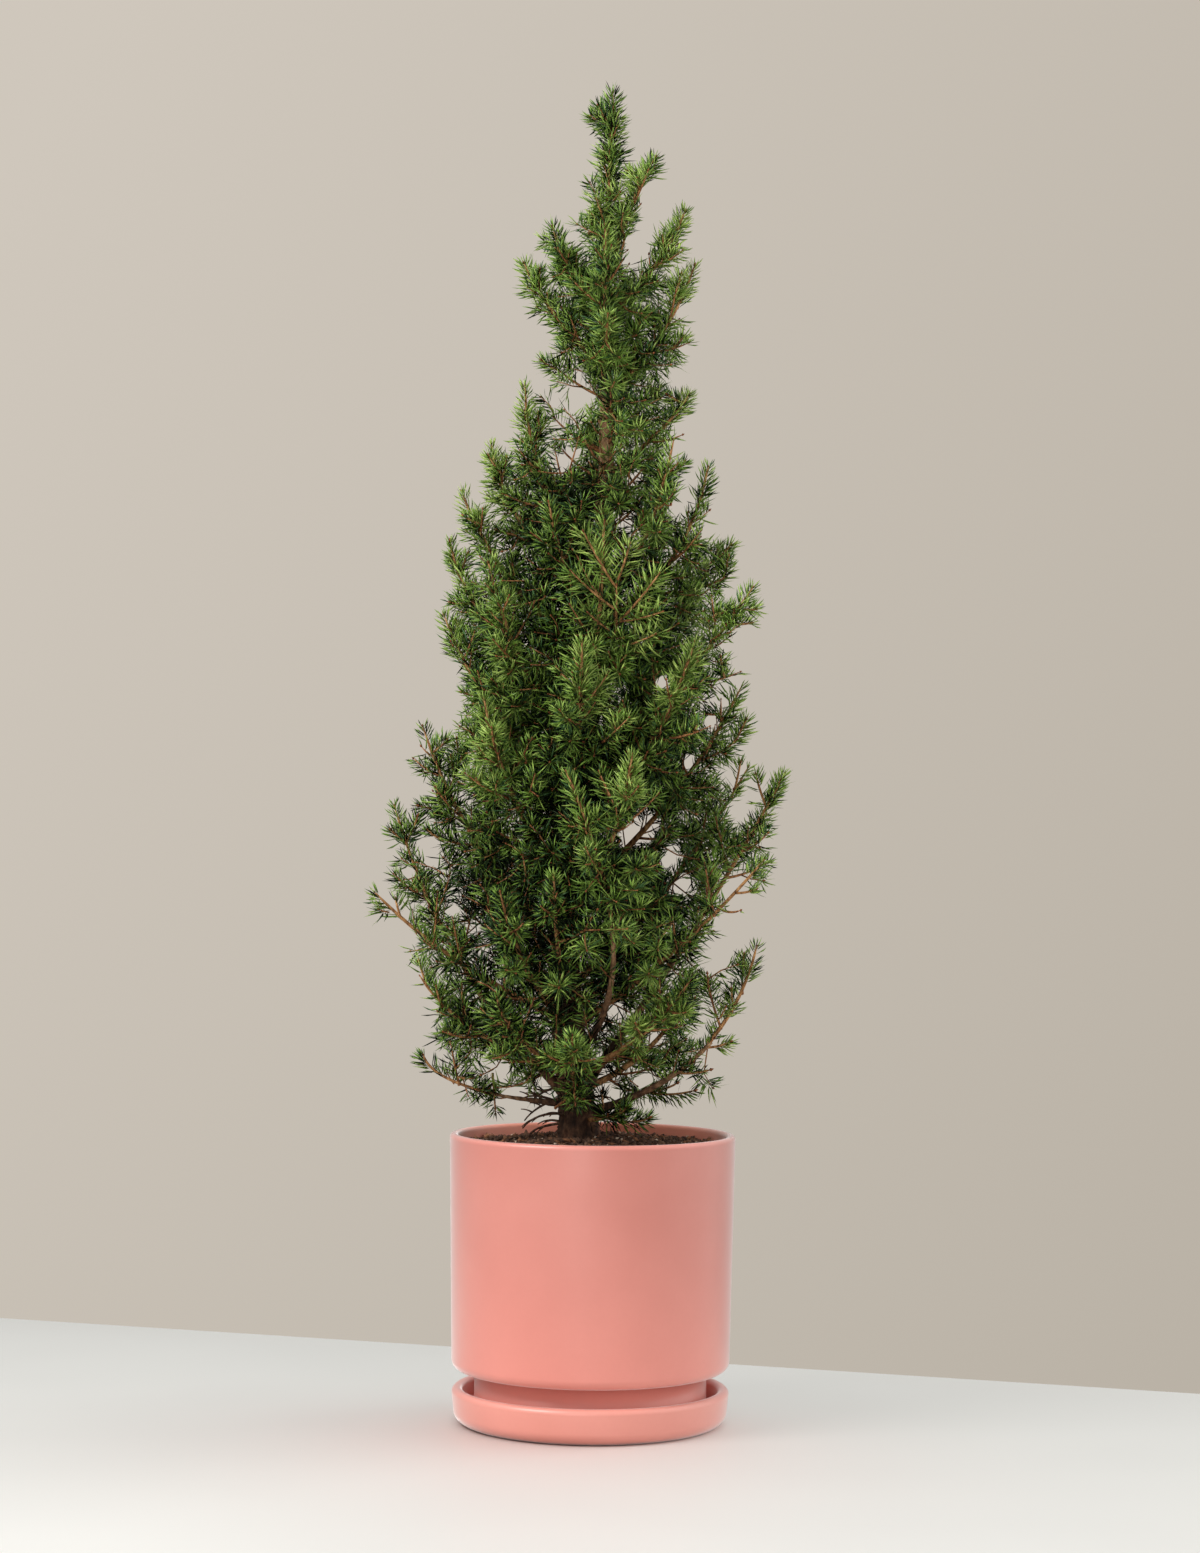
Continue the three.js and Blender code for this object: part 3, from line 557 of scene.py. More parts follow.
def fill_spots():
    """Places for fine shoots, spread over the crown, and how far out they lie."""
    rng = np.random.default_rng(FILL_SEED)
    half = FILL["half"]
    low, high = [-half, -half, GROUND + FILL["low"]], [half, half, GROUND + FILL["high"]]
    spots = rng.uniform(low, high, (FILL["tries"], 3))
    h, share = spots[:, 2] - GROUND, share_out(spots)
    fits = (share < FILL["outer"]) & (share > FILL["inner"]) & (h > lowest_spray(spots[:, 0]))
    fits &= from_trunk(spots) > trunk_radius(np.clip(h, 0, TOP)) + FILL["off_trunk"]
    fits &= ~near_sky(spots, FILL["off_sky"]) & ~hides_bough(spots) & ~before_fan(spots)
    fits &= (spots[:, 1] > 0) | ~within(spots, FEW_SHOOTS)
    fits[fits] = in_plume(spots[fits]) | (share[fits] < PLUME["core"])
    return spots[fits], share[fits]


def wood_points(low, bare_share, high, steps_of):
    """Points along all shoots but the fine ones."""
    points = []
    for shoot in shoots:
        if shoot["kind"] != FINE:
            share = np.linspace(max(low, shoot["bare"] * bare_share), high, steps_of(shoot["length"]))
            points.append(bezier(shoot["curve"], share))
    return np.concatenate(points)


def fill_shoots():
    """Finer shoots to those places, each from the nearest wood that it can grow out of."""
    wood = wood_points(0.06, 1, 0.94, lambda length: max(2, int(length / 3)))
    centre = trunk_centre(np.clip(wood[:, 2] - GROUND, 0, 600))
    away = unit((wood - centre) * FLAT + UP * 0.35)
    cells = {}

    def cell_of(spot):
        return tuple((spot // CELL).astype(int))

    def free(spot, room):
        x, y, z = cell_of(spot)
        for dx, dy, dz in NEIGHBOURS:
            for other in cells.get((x + dx, y + dy, z + dz), ()):
                apart = (other[0] - spot[0]) ** 2 + (other[1] - spot[1]) ** 2 + (other[2] - spot[2]) ** 2
                if apart < room * room:
                    return False
        return True

    def keep(spot):
        cells.setdefault(cell_of(spot), []).append(spot)

    for shoot in shoots:
        keep(shoot["curve"][2])
    for spot, out_share in zip(*fill_spots()):
        h = spot[2] - GROUND
        room = ROOM["outer"] if out_share > 0.4 else ROOM["inner"]
        at_side = h < 190 and abs(spot[0]) > 40
        room += ROOM["low"] * (h < 130) + ROOM["high"] * (h > 390) + ROOM["low_sides"] * at_side
        if not free(spot, room):
            continue
        step = spot - wood
        size = np.linalg.norm(step, axis=1)
        forward = (step * away).sum(1) / np.maximum(size, 0.1)
        cost = size + REACH["straight"] * (1 - forward)
        cost = cost + np.where(size < REACH["too_near"], REACH["start_costs"], 0)
        best = int(np.argmin(cost))
        if size[best] > REACH["too_far"] or forward[best] < REACH["least_forward"]:
            continue
        keep(spot)
        start, length = wood[best], float(size[best])
        radial = unit((spot - trunk_centre(min(h, 600))) * FLAT + UP * 9)
        bend = (start + spot) / 2 * 0.35 + (spot - radial * 0.5 * length) * 0.65
        add_shoot(np.array([start, bend, spot]), length, 0.55, 0.4, FINE)


def stays(shoot):
    """False for fine shoots that end in open sky or before the fan."""
    tip = shoot["curve"][2]
    return shoot["kind"] != FINE or not (sky_depth(tip) > FINE_IN_SKY or before_fan(tip))


fill_shoots()
shoots = [shoot for shoot in shoots if stays(shoot)]


def edge_tufts():
    """Blunt twigs that end where the outline stands out furthest, each from the nearest limb or twig."""
    wood = wood_points(0.1, 0.6, 0.9, lambda length: 12)
    across, h = seen(wood)
    for spot_across, spot_h in TUFTS:
        away = np.hypot(across - spot_across, h - spot_h + 9) + 0.12 * np.abs(wood[:, 1])
        away[h > spot_h - 5] += 60
        near = int(np.argmin(np.where(away < 9, 60, away)))
        start, end = wood[near], unseen(spot_across, spot_h - 6, wood[near, 1] - 3)
        length = float(np.linalg.norm(end - start))
        curve = np.array([start, (start + end) / 2 - UP * 0.12 * length, end])
        add_shoot(curve, length, 0.8, 0.6, BLUNT)


def placed_twigs(twigs, kind):
    """Twigs that run from one place to another as the camera sees them."""
    for start, end, radius in twigs:
        start, end = unseen(*start), unseen(*end)
        length = float(np.linalg.norm(end - start))
        curve = np.array([start, (start + end) / 2 + [0, 1.5, -0.06 * length], end])
        add_shoot(curve, length, radius * 1.2, 0.45, kind)


edge_tufts()
placed_twigs(FAN, OPEN)
placed_twigs(FOOT, SIDE_TWIG)
count = len(shoots)
curves = np.array([shoot["curve"] for shoot in shoots])
lengths = np.array([shoot["length"] for shoot in shoots])
kinds = np.array([shoot["kind"] for shoot in shoots])
bares = np.array([shoot["bare"] for shoot in shoots])
thick = np.array([shoot["thick"] for shoot in shoots])
thin = np.array([shoot["thin"] for shoot in shoots])
luck = np.array([[chance(number, key) for key in range(41, 47)] for number in range(count)])

# How far out each shoot's tip lies in the crown, from 0 at the trunk to 1 at its edge; near the top it is
# held up.
# It sets the needles' painted shade: the further in a spray lies, the darker it is coloured.
tips = curves[:, 2]
tip_h = tips[:, 2] - GROUND
outness = np.where(tip_h > 535, 0.8, share_out(tips))
outness = np.maximum(outness, 0.72 * smooth(350, 400, tip_h))

# Needles

# For each kind of shoot in its order: needles per mm, their length, how they crowd to the tip, their lean,
# and how much less they lean and how much shorter they are at the tip
PER_MM, NEEDLE_LENGTH, CROWDING, LEAN, LESS_LEAN, SHORTER = np.array([
    (2.5, 9.4, 0.6, 54, 18, 0.3),
    (1.75, 10.4, 0.7, 64, 20, 0.24),
    (1.55, 11.0, 0.65, 70, 18, 0.12),
    (4.0, 9.2, 0.9, 64, 28, 0.2),
    (1.5, 12.5, 0.75, 64, 18, 0.1),
]).T
NEEDLE_WIDTH = 1.14


def grow_needles():
    """Roots, directions, lengths and shoots of all the needles."""
    rng = np.random.default_rng(NEEDLE_SEED)
    needled = lengths * (1 - bares)
    numbers = (np.minimum(needled, 22 + 0.6 * needled) * PER_MM[kinds] + 15).astype(int)
    usual_length = NEEDLE_LENGTH[kinds] * (0.88 + 0.24 * luck[:, 0])
    shoot = np.repeat(np.arange(count), numbers)
    kind = kinds[shoot]
    order = np.arange(len(shoot)) - np.repeat(np.cumsum(numbers) - numbers, numbers)
    share = (order + rng.uniform(0.2, 1.2, len(shoot))) / (numbers[shoot] + 0.4)
    share = np.clip(share, 0, 1) ** CROWDING[kind]
    at = bares[shoot] + (1 - bares[shoot]) * share
    curve = curves[shoot]
    onward, root = heading(curve, at), bezier(curve, at)
    side, over = frames(onward, heading(curves, np.full(count, 0.5))[shoot])
    spin = order * GOLDEN + TURN * luck[shoot, 1] + rng.normal(0, 0.12, len(shoot))
    out = side * np.cos(spin)[:, None] + over * np.sin(spin)[:, None]
    radius = thick[shoot] + (thin[shoot] - thick[shoot]) * share ** 0.8
    to_tip = needled[shoot] * (1 - share)
    tip = 1 - smooth(0, 9, to_tip)
    lean = np.radians(LEAN[kind] - LESS_LEAN[kind] * tip + rng.normal(0, 7, len(shoot)))
    direction = onward * np.cos(lean)[:, None] + out * np.sin(lean)[:, None]
    direction = unit(direction + UP * 0.14)
    length = usual_length[shoot] * (1 - SHORTER[kind] * tip) * rng.normal(1, 0.1, len(shoot))
    # old wood keeps few needles, and less of them near the trunk
    inner = np.where(root[:, 2] - GROUND > 400, 1.0, share_out(root))
    keep = np.where(kind == STEM, 0.25 + 0.75 * smooth(60, 22, to_tip), 1.0)
    keep = keep * (0.45 + 0.55 * smooth(0.1, 0.4, inner))
    root = root + out * (radius * 0.6)[:, None]
    end = root + direction * length[:, None]
    fine = (rng.uniform(0, 1, len(shoot)) < keep) & in_crown(end, LIMB["past"] + 3.0, 3.0)
    # some needles reach further into open sky than others
    bold = 0.22 * luck[shoot, 5] + rng.uniform(0, 0.16, len(shoot))
    fine &= (sky_depth(end) < bold) & (sky_depth((root + end) / 2) < bold)
    before_trunk = within(end, FEW_NEEDLES) & (end[:, 1] < 3)
    fine &= ~before_trunk | (rng.uniform(0, 1, len(shoot)) < 0.45)
    h = end[:, 2] - GROUND
    fine &= (h > TOP) | (from_trunk(end) > trunk_radius(np.clip(h, 0, TOP)) * 0.9)
    bend = unit(onward + UP * 0.3)
    return (root[fine], end[fine], length[fine], bend[fine], shoot[fine], to_tip[fine],
            rng.uniform(0, 1, fine.sum()))


roots, ends, long, bends, of_shoot, to_tip, dice = grow_needles()


def needle_mesh(pick):
    """Slim needles of four faces, as points and faces."""
    root, end, size, lean = roots[pick], ends[pick], long[pick], bends[pick]
    number = len(root)
    side, over = frames(unit(end - root), unit(end - root))
    turned = dice[pick] * TURN
    half = NEEDLE_WIDTH * (0.85 + 0.3 * dice[pick]) / 2
    sag = -lean * (size * 0.045)[:, None]
    points = np.empty((number, 4, 3))
    points[:, 0], points[:, 1] = root, end
    for corner in range(2):
        angle = turned + corner * math.radians(110)
        spoke = side * np.cos(angle)[:, None] + over * np.sin(angle)[:, None]
        points[:, 2 + corner] = root + (end - root) * (0.25, 0.7)[corner] + sag + spoke * half[:, None]
    faces = np.array([[0, 3, 2], [1, 2, 3], [0, 2, 1], [0, 1, 3]])
    faces = faces[None] + 4 * np.arange(number)[:, None, None]
    return points.reshape(-1, 3), faces.reshape(-1, 3)


# Mesh and material helpers

def mesh_object(name, points, faces, material, shade_smooth=False):
    """A mesh object from points in millimetres and triangles or quads."""
    faces = np.asarray(faces)
    mesh = bpy.data.meshes.new(name)
    mesh.vertices.add(len(points))
    mesh.vertices.foreach_set("co", (np.asarray(points, float) * 0.001).astype(np.float32).ravel())
    mesh.loops.add(faces.size)
    mesh.loops.foreach_set("vertex_index", faces.astype(np.int32).ravel())
    mesh.polygons.add(len(faces))
    mesh.polygons.foreach_set("loop_start", np.arange(0, faces.size, faces.shape[1], dtype=np.int32))
    if shade_smooth:
        mesh.polygons.foreach_set("use_smooth", np.ones(len(faces), dtype=bool))
    mesh.update(calc_edges=True)
    mesh.materials.append(material)
    made = bpy.data.objects.new(name, mesh)
    bpy.context.scene.collection.objects.link(made)
    return made


def linear(*rgb):
    """sRGB 0 to 255 to the linear colour that shaders take."""
    made = [(c / 255 / 12.92) if c / 255 <= 0.04045 else ((c / 255 + 0.055) / 1.055) ** 2.4 for c in rgb]
    return (*made, 1.0)


def map_range(nodes, links, value, source, target=(0, 1)):
    """A node's value carried from one range to another."""
    made = nodes.new("ShaderNodeMapRange")
    for name, number in zip(("From Min", "From Max", "To Min", "To Max"), (*source, *target)):
        made.inputs[name].default_value = number
    links.new(value, made.inputs["Value"])
    return made.outputs["Result"]


class Shader:
    """A node material built round one Principled shader."""

    def __init__(self, name, roughness, specular):
        self.material = bpy.data.materials.new(name)
        self.material.use_nodes = True
        self.nodes, self.links = self.material.node_tree.nodes, self.material.node_tree.links
        self.bsdf = self.nodes["Principled BSDF"]
        self.bsdf.inputs["Roughness"].default_value = roughness
        self.bsdf.inputs["Specular IOR Level"].default_value = specular
        self.place = self.nodes.new("ShaderNodeTexCoord").outputs["Object"]

    def noise(self, scale, detail, stretch=None):
        made = self.nodes.new("ShaderNodeTexNoise")
        made.inputs["Scale"].default_value = scale
        made.inputs["Detail"].default_value = detail
        place = self.place
        if stretch:
            mapping = self.nodes.new("ShaderNodeMapping")
            mapping.inputs["Scale"].default_value = stretch
            self.links.new(place, mapping.inputs["Vector"])
            place = mapping.outputs["Vector"]
        self.links.new(place, made.inputs["Vector"])
        return made.outputs["Fac"]

    def ramp(self, value, *stops):
        made = self.nodes.new("ShaderNodeValToRGB")
        while len(made.color_ramp.elements) < len(stops):
            made.color_ramp.elements.new(0.5)
        for element, (place, colour) in zip(made.color_ramp.elements, stops):
            element.position, element.color = place, colour
        self.links.new(value, made.inputs["Fac"])
        return made.outputs["Color"]

    def mix(self, share, one, other, how="MIX"):
        made = self.nodes.new("ShaderNodeMix")
        made.data_type, made.blend_type = "RGBA", how
        for socket, value in ((made.inputs[0], share), (made.inputs[6], one), (made.inputs[7], other)):
            if isinstance(value, (int, float, tuple)):
                socket.default_value = value
            else:
                self.links.new(value, socket)
        return made.outputs[2]

    def spread(self, value, low, high):
        """The middle of a noise carried to the range from low to high."""
        return map_range(self.nodes, self.links, value, (0.3, 0.7), (low, high))

    def height(self, low, high):
        """A share that goes from 0 to 1 between two heights in metres."""
        parts = self.nodes.new("ShaderNodeSeparateXYZ")
        self.links.new(self.place, parts.inputs["Vector"])
        return map_range(self.nodes, self.links, parts.outputs["Z"], (low, high))

    def reach(self, near, far):
        """How far out from the trunk a point lies, from 0 at near to 1 at far, in metres."""
        flat = self.nodes.new("ShaderNodeVectorMath")
        flat.operation = "MULTIPLY"
        flat.inputs[1].default_value = (1, 1, 0)
        self.links.new(self.place, flat.inputs[0])
        size = self.nodes.new("ShaderNodeVectorMath")
        size.operation = "LENGTH"
        self.links.new(flat.outputs["Vector"], size.inputs[0])
        return map_range(self.nodes, self.links, size.outputs["Value"], (near, far))

    def bump(self, value, depth, strength=1.0):
        made = self.nodes.new("ShaderNodeBump")
        made.inputs["Distance"].default_value = depth
        made.inputs["Strength"].default_value = strength
        self.links.new(value, made.inputs["Height"])
        self.links.new(made.outputs["Normal"], self.bsdf.inputs["Normal"])

    def colour(self, value):
        self.links.new(value, self.bsdf.inputs["Base Color"])

    def rough(self, value):
        self.links.new(value, self.bsdf.inputs["Roughness"])


def shade(colour, factor):
    return (*[min(1.0, c * factor) for c in colour[:3]], 1.0)


def needle_material(name, rgb, roughness, specular):
    made = Shader(name, roughness, specular)
    base = linear(*rgb)
    tint = made.noise(90, 2)
    made.colour(made.ramp(tint, (0.3, shade(base, 0.78)), (0.7, shade(base, 1.22))))
    made.rough(made.spread(made.noise(400, 1), roughness - 0.06, roughness + 0.08))
    return made.material


# Needles by colour, from the dark hollows to new growth at the tips. The darkest colours, given to sprays
# deep in the crown, are painted shade; the lighter colours of outer sprays are partly the paler new growth
# and partly painted light. A spray's colour goes by how far out it lies, by luck and by the painted light and
# shade patches below, and single needles stray from it a little.
COLOURS = {
    "shade": ((10, 15, 5), 0.6, 0.05),
    "deep": ((25, 41, 15), 0.55, 0.12),
    "blue": ((61, 96, 52), 0.46, 0.28),
    "mid": ((110, 144, 54), 0.44, 0.33),
    "bright": ((143, 172, 78), 0.42, 0.38),
    "fresh": ((164, 188, 94), 0.42, 0.38),
}
# What a spray's score is made up of, how far needles stray from it, and what they lose away from the tip.
# The weight on how far out a spray lies paints shade inside the crown; the edge part paints shade on sprays
# at the crown's outline.
SCORE = dict(start=-0.16, out=0.98, luck=0.3, high=0.1, fan=0.08, blunt=-0.07, foot=0.06, edge=-0.12)
STRAY, OLD_WOOD = 0.7, -0.12
# The scores at which one colour gives way to the next
LIMITS = [0.42, 0.6, 0.69, 0.98, 1.19]
# Painted light and shade on the crown: parts where the sprays are made lighter or darker: across, height,
# radius, lift
PAINTED_LIGHT_AND_SHADE_PATCHES = [
    (-58, 225, 42, 0.28), (-62, 172, 32, 0.18), (20, 264, 40, 0.24), (56, 310, 34, 0.14), (20, 356, 36, 0.2),
    (20, 402, 28, 0.14), (20, 80, 36, 0.2), (55, 172, 34, 0.18), (22, 535, 40, 0.16), (20, 200, 30, 0.12),
    (-104, 112, 34, 0.22), (-104, 150, 30, 0.14), (-25, 42, 32, 0.2), (22, 38, 32, 0.22),
    (88, 172, 30, -0.08), (-20, 126, 28, -0.2),
]
MOST_NEEDLES = 48000


def needle_colours():
    """The number of each needle's colour."""
    # painted shade: the further in a spray lies, the lower its score and the darker its colour
    score = SCORE["out"] * outness + SCORE["luck"] * luck[:, 2] + SCORE["high"] * smooth(100, 400, tip_h)
    score += SCORE["fan"] * (kinds == OPEN)
    score += SCORE["start"]
    score += SCORE["blunt"] * (kinds == BLUNT)
    score += SCORE["foot"] * smooth(120, 60, tip_h)
    tip_across, tip_up = seen(tips)
    # painted light and shade: sprays in these patches are lifted or lowered in colour
    for across, up, radius, lift in PAINTED_LIGHT_AND_SHADE_PATCHES:
        score += lift * smooth(radius, radius * 0.4, np.hypot(tip_across - across, tip_up - up))
    # painted shade on sprays near the crown's outline, below 400 mm
    painted_edge_shade = smooth(0.75, 1.0, np.abs(tip_across) / np.maximum(8, edge(tip_h)))
    score += SCORE["edge"] * painted_edge_shade * (tip_h < 400)
    of_needle = score[of_shoot] + STRAY * (dice * 7 % 1 - 0.5) + OLD_WOOD * smooth(8, 30, to_tip)
    return np.digitize(of_needle, LIMITS)


colour_of = needle_colours()
needle_objects = []
for index, (name, look) in enumerate(COLOURS.items()):
    material = needle_material("needle_" + name, *look)
    where = np.nonzero(colour_of == index)[0]
    parts = max(1, math.ceil(len(where) / MOST_NEEDLES))
    for part, pick in enumerate(np.array_split(where, parts)):
        label = f"needles_{name}" + (f"_{part + 1}" if parts > 1 else "")
        needle_objects.append(mesh_object(label, *needle_mesh(pick), material))


# Twigs

def ring_quads(rings, sides):
    """The quads of a skin over rings of points."""
    ring, corner = np.meshgrid(np.arange(rings - 1), np.arange(sides), indexing="ij")
    a = (ring * sides + corner).ravel()
    b = (ring * sides + (corner + 1) % sides).ravel()
    return np.stack([a, b, b + sides, a + sides], 1)


def ring_triangles(rings, sides):
    quads = ring_quads(rings, sides)
    return np.concatenate([quads[:, [0, 1, 2]], quads[:, [0, 2, 3]]])


def round_middle(middle, first, sides):
    """Triangles from a middle point to each side of the ring that starts at first."""
    side = np.arange(sides)
    return np.stack([np.full(sides, middle), first + side, first + (side + 1) % sides], 1)


def tubes(centres, radii, sides):
    """Closed tubes over rings of centres (n, r, 3) and radii (n, r), as points and triangles."""
    number, rings = radii.shape
    onward = unit(np.gradient(centres, axis=1))
    side, over = frames(onward, np.broadcast_to(onward[:, rings // 2][:, None], onward.shape))
    angle = np.arange(sides) * TURN / sides
    spokes = side[:, :, None] * np.cos(angle)[:, None] + over[:, :, None] * -np.sin(angle)[:, None]
    points = centres[:, :, None] + spokes * radii[:, :, None, None]
    last = (rings - 1) * sides
    cap = np.array([[last, last + k, last + k + 1] for k in range(1, sides - 1)])
    base = np.array([[0, k + 1, k] for k in range(1, sides - 1)])
    faces = np.concatenate([ring_triangles(rings, sides), cap, base])[None]
    faces = faces + (rings * sides) * np.arange(number)[:, None, None]
    return points.reshape(-1, 3), faces.reshape(-1, 3)


def gather(*parts):
    """Several (points, faces) as one."""
    points, faces, offset = [], [], 0
    for part_points, part_faces in parts:
        points.append(part_points)
        faces.append(part_faces + offset)
        offset += len(part_points)
    return np.concatenate(points), np.concatenate(faces)


def shoot_tubes(pick, rings, sides):
    share = np.linspace(0, 1, rings)
    at = bares[pick][:, None] + (1 - bares[pick][:, None]) * share
    centres = bezier(curves[pick][:, None], at)
    radii = thick[pick][:, None] + (thin[pick] - thick[pick])[:, None] * share ** 0.8
    radii[:, -1] *= 0.5
    return tubes(centres, radii, sides)


def bark_material(name, dark, mid, light, scale, roughness=0.8):
    made = Shader(name, roughness, 0.25)
    broad = made.noise(scale * 0.25, 3)
    fine = made.noise(scale, 4, (1, 1, 0.45))
    base = made.ramp(fine, (0.32, linear(*dark)), (0.5, linear(*mid)), (0.68, linear(*light)))
    made.colour(made.mix(made.spread(broad, 0.0, 0.5), base, linear(*dark), "MULTIPLY"))
    made.bump(fine, 0.0005)
    return made.material


stem_pick = np.nonzero((kinds == STEM) | (kinds >= BLUNT))[0]
twig_pick = np.nonzero(kinds == SIDE_TWIG)[0]
fine_pick = np.nonzero(kinds == FINE)[0]
old_wood = bark_material("bark_stem", (106, 72, 44), (170, 122, 76), (214, 166, 112), 500)
young_wood = bark_material("bark_twig", (110, 68, 42), (168, 112, 70), (212, 156, 104), 700, 0.65)
stem_object = mesh_object("stems", *shoot_tubes(stem_pick, 14, 7), old_wood, True)
twig_object = mesh_object("twigs", *gather(shoot_tubes(twig_pick, 6, 4), shoot_tubes(fine_pick, 3, 3)),
                          young_wood, True)


def bud_mesh():
    """Buds, one at the end of every shoot."""
    onward = heading(curves, np.ones(count))
    side, over = frames(onward, onward)
    size = np.where(kinds == BLUNT, 1.15, 0.7) + 0.35 * luck[:, 4]
    points = np.empty((count, 6, 3))
    centre = tips + onward * (0.4 * size)[:, None]
    points[:, 0] = centre - onward * size[:, None]
    points[:, 5] = centre + onward * (1.5 * size)[:, None]
    for corner in range(4):
        angle = corner * TURN / 4
        spoke = side * math.cos(angle) + over * math.sin(angle)
        points[:, 1 + corner] = centre + spoke * (0.75 * size)[:, None]
    faces = np.concatenate([round_middle(5, 1, 4), round_middle(0, 1, 4)[:, [0, 2, 1]]])
    faces = faces[None] + 6 * np.arange(count)[:, None, None]
    return points.reshape(-1, 3), faces.reshape(-1, 3)


bud_material = bark_material("bud_scales", (96, 52, 30), (140, 80, 44), (176, 112, 66), 1200, 0.55)
bud_object = mesh_object("buds", *bud_mesh(), bud_material, True)


# Trunk and boughs with the bark's relief. Blender's vector noise follows the clock unless it has a seed.

noise.seed_set(BARK_SEED)
BARK = dict(scale_width=3.4, scale_height=5.2, warp=0.45, crack=2.4, scales=0.75, rough=0.35, middle=0.62)


def bark_relief(points):
    """How far the bark stands out at each point, from loose scales parted by cracks."""
    out = np.empty(len(points))
    for number, (x, y, z) in enumerate(points):
        place = Vector((x / BARK["scale_width"], y / BARK["scale_width"], z / BARK["scale_height"]))
        place += noise.noise_vector(place * 0.8) * BARK["warp"]
        near = noise.voronoi(place)[0]
        crack = min(1.0, (near[1] - near[0]) * BARK["crack"])
        rough = noise.fractal(place * 2.1, 0.8, 2.2, 3)
        out[number] = BARK["scales"] * crack + BARK["rough"] * rough
    return out


def tube_with_relief(centres, radii, sides, girth):
    """One closed tube whose skin is pushed in and out by the bark."""
    rings = len(centres)
    onward = unit(np.gradient(centres, axis=0))
    side, over = frames(onward, np.broadcast_to(onward[rings // 2], onward.shape))
    angle = np.arange(sides) * TURN / sides
    spokes = side[:, None] * np.cos(angle)[:, None] - over[:, None] * np.sin(angle)[:, None]
    bare = centres[:, None] + spokes * radii[:, None, None]
    relief = bark_relief(bare.reshape(-1, 3)).reshape(rings, sides)
    relief = (relief - BARK["middle"]) * girth[:, None]
    points = bare + spokes * relief[..., None]
    points = np.concatenate([points.reshape(-1, 3), centres[:1], centres[-1:]])
    base = round_middle(rings * sides, 0, sides)[:, [0, 2, 1]]
    cap = round_middle(rings * sides + 1, (rings - 1) * sides, sides)
    return points, np.concatenate([ring_triangles(rings, sides), base, cap])


def trunk_skin():
    h = np.concatenate([np.linspace(-6, 60, 60, endpoint=False), np.linspace(60, TOP, 300)])
    centres = trunk_centre(h)
    radii = trunk_radius(np.maximum(h, 0))
    girth = np.interp(radii, [2, 6, 12], [0.35, 0.9, 1.7])
    return tube_with_relief(centres, radii, 48, girth)


def bough_skin(limb, end):
    length = limb.length * end
    rings = max(12, int(length / 1.4))
    share = np.linspace(0, end, rings)
    centres = bezier(limb.curve, share)
    # a collar where the limb leaves the trunk
    from_bark = np.maximum(0, share * limb.length - trunk_radius(limb.root))
    radii = limb.bough_radius(share) * (1 + 0.5 * np.exp(-from_bark / 5))
    return tube_with_relief(centres, radii, 14, np.interp(radii, [1, 4], [0.25, 0.7]))


def trunk_bark():
    """Dark patchy bark low on the trunk, and lighter bark high up and far out on the boughs."""
    bark = Shader("bark_trunk", 0.85, 0.25)
    fine = bark.noise(420, 5, (1, 1, 0.5))
    stops, dark_tones = (0.3, 0.5, 0.72), [linear(46, 32, 26), linear(86, 62, 48), linear(132, 102, 80)]
    light_tones = [linear(98, 72, 50), linear(140, 106, 76), linear(182, 148, 112)]
    patch = bark.ramp(bark.noise(60, 3), (0.4, linear(150, 140, 128)), (0.62, linear(255, 226, 204)))
    low = bark.mix(0.75, bark.ramp(fine, *zip(stops, dark_tones)), patch, "MULTIPLY")
    high = bark.ramp(fine, *zip(stops, light_tones))
    outwards = bark.mix(bark.reach(0.022, 0.06), low, high)
    bark.colour(bark.mix(bark.height(0.42, 0.54), outwards, high))
    bark.bump(fine, 0.0006)
    return bark.material


bough_skins = [bough_skin(limb, limb.bare + 0.02) for limb in limbs if limb.bare]
bark_object = mesh_object("bark", *gather(trunk_skin(), *bough_skins), trunk_bark(), True)

# Bare dead twigs at the trunk's foot: height, turn, reach out, rise, droop

DEAD = [
    (14, 186, 24, 2, -10), (9, 200, 20, -2, -4), (19, 168, 26, 8, -6), (24, 192, 22, -6, -8),
    (12, 215, 18, 6, -4), (30, 150, 20, -4, -6), (16, 30, 16, 6, -5), (40, 245, 14, 4, -4),
    (8, 140, 15, 3, -3), (22, 330, 13, 5, -4), (52, 20, 15, 6, -2), (64, 160, 16, 7, -3),
]


def dead_twigs():
    lines, radii = [], []
    share = np.linspace(0, 1, 9)
    for number, (h, turn, reach, rise, droop) in enumerate(DEAD):
        angle = math.radians(turn)
        out = way(angle)
        across = way(angle + TURN / 4) * around(0, 9, number, 81)
        start = trunk_centre(h) + out * trunk_radius(h) * 0.7
        bend = start + out * reach * 0.7 + UP * rise + across
        end = start + out * reach + UP * (rise + droop) + across * 0.4
        curve = np.array([start, bend, end])
        lines.append(bezier(curve, share))
        radii.append(np.linspace(0.95, 0.4, 9))
        for fork in (0.45, 0.7):
            root = bezier(curve, fork)
            tip = root + out * 6 + UP * around(-2, 5, number, 82) + across * 0.5
            lines.append(bezier(np.array([root, (root + tip) / 2 + UP, tip]), share))
            radii.append(np.linspace(0.55, 0.28, 9))
    return tubes(np.array(lines), np.array(radii), 5)


dead_wood = bark_material("bark_dead", (52, 36, 28), (92, 66, 50), (128, 98, 78), 600, 0.85)
dead_object = mesh_object("dead_twigs", *dead_twigs(), dead_wood, True)


# Pot and saucer

def arc(radius, height, size, start, end, steps):
    angles = np.radians(np.linspace(start, end, steps + 1))
    return [(radius + size * math.cos(a), height + size * math.sin(a)) for a in angles]


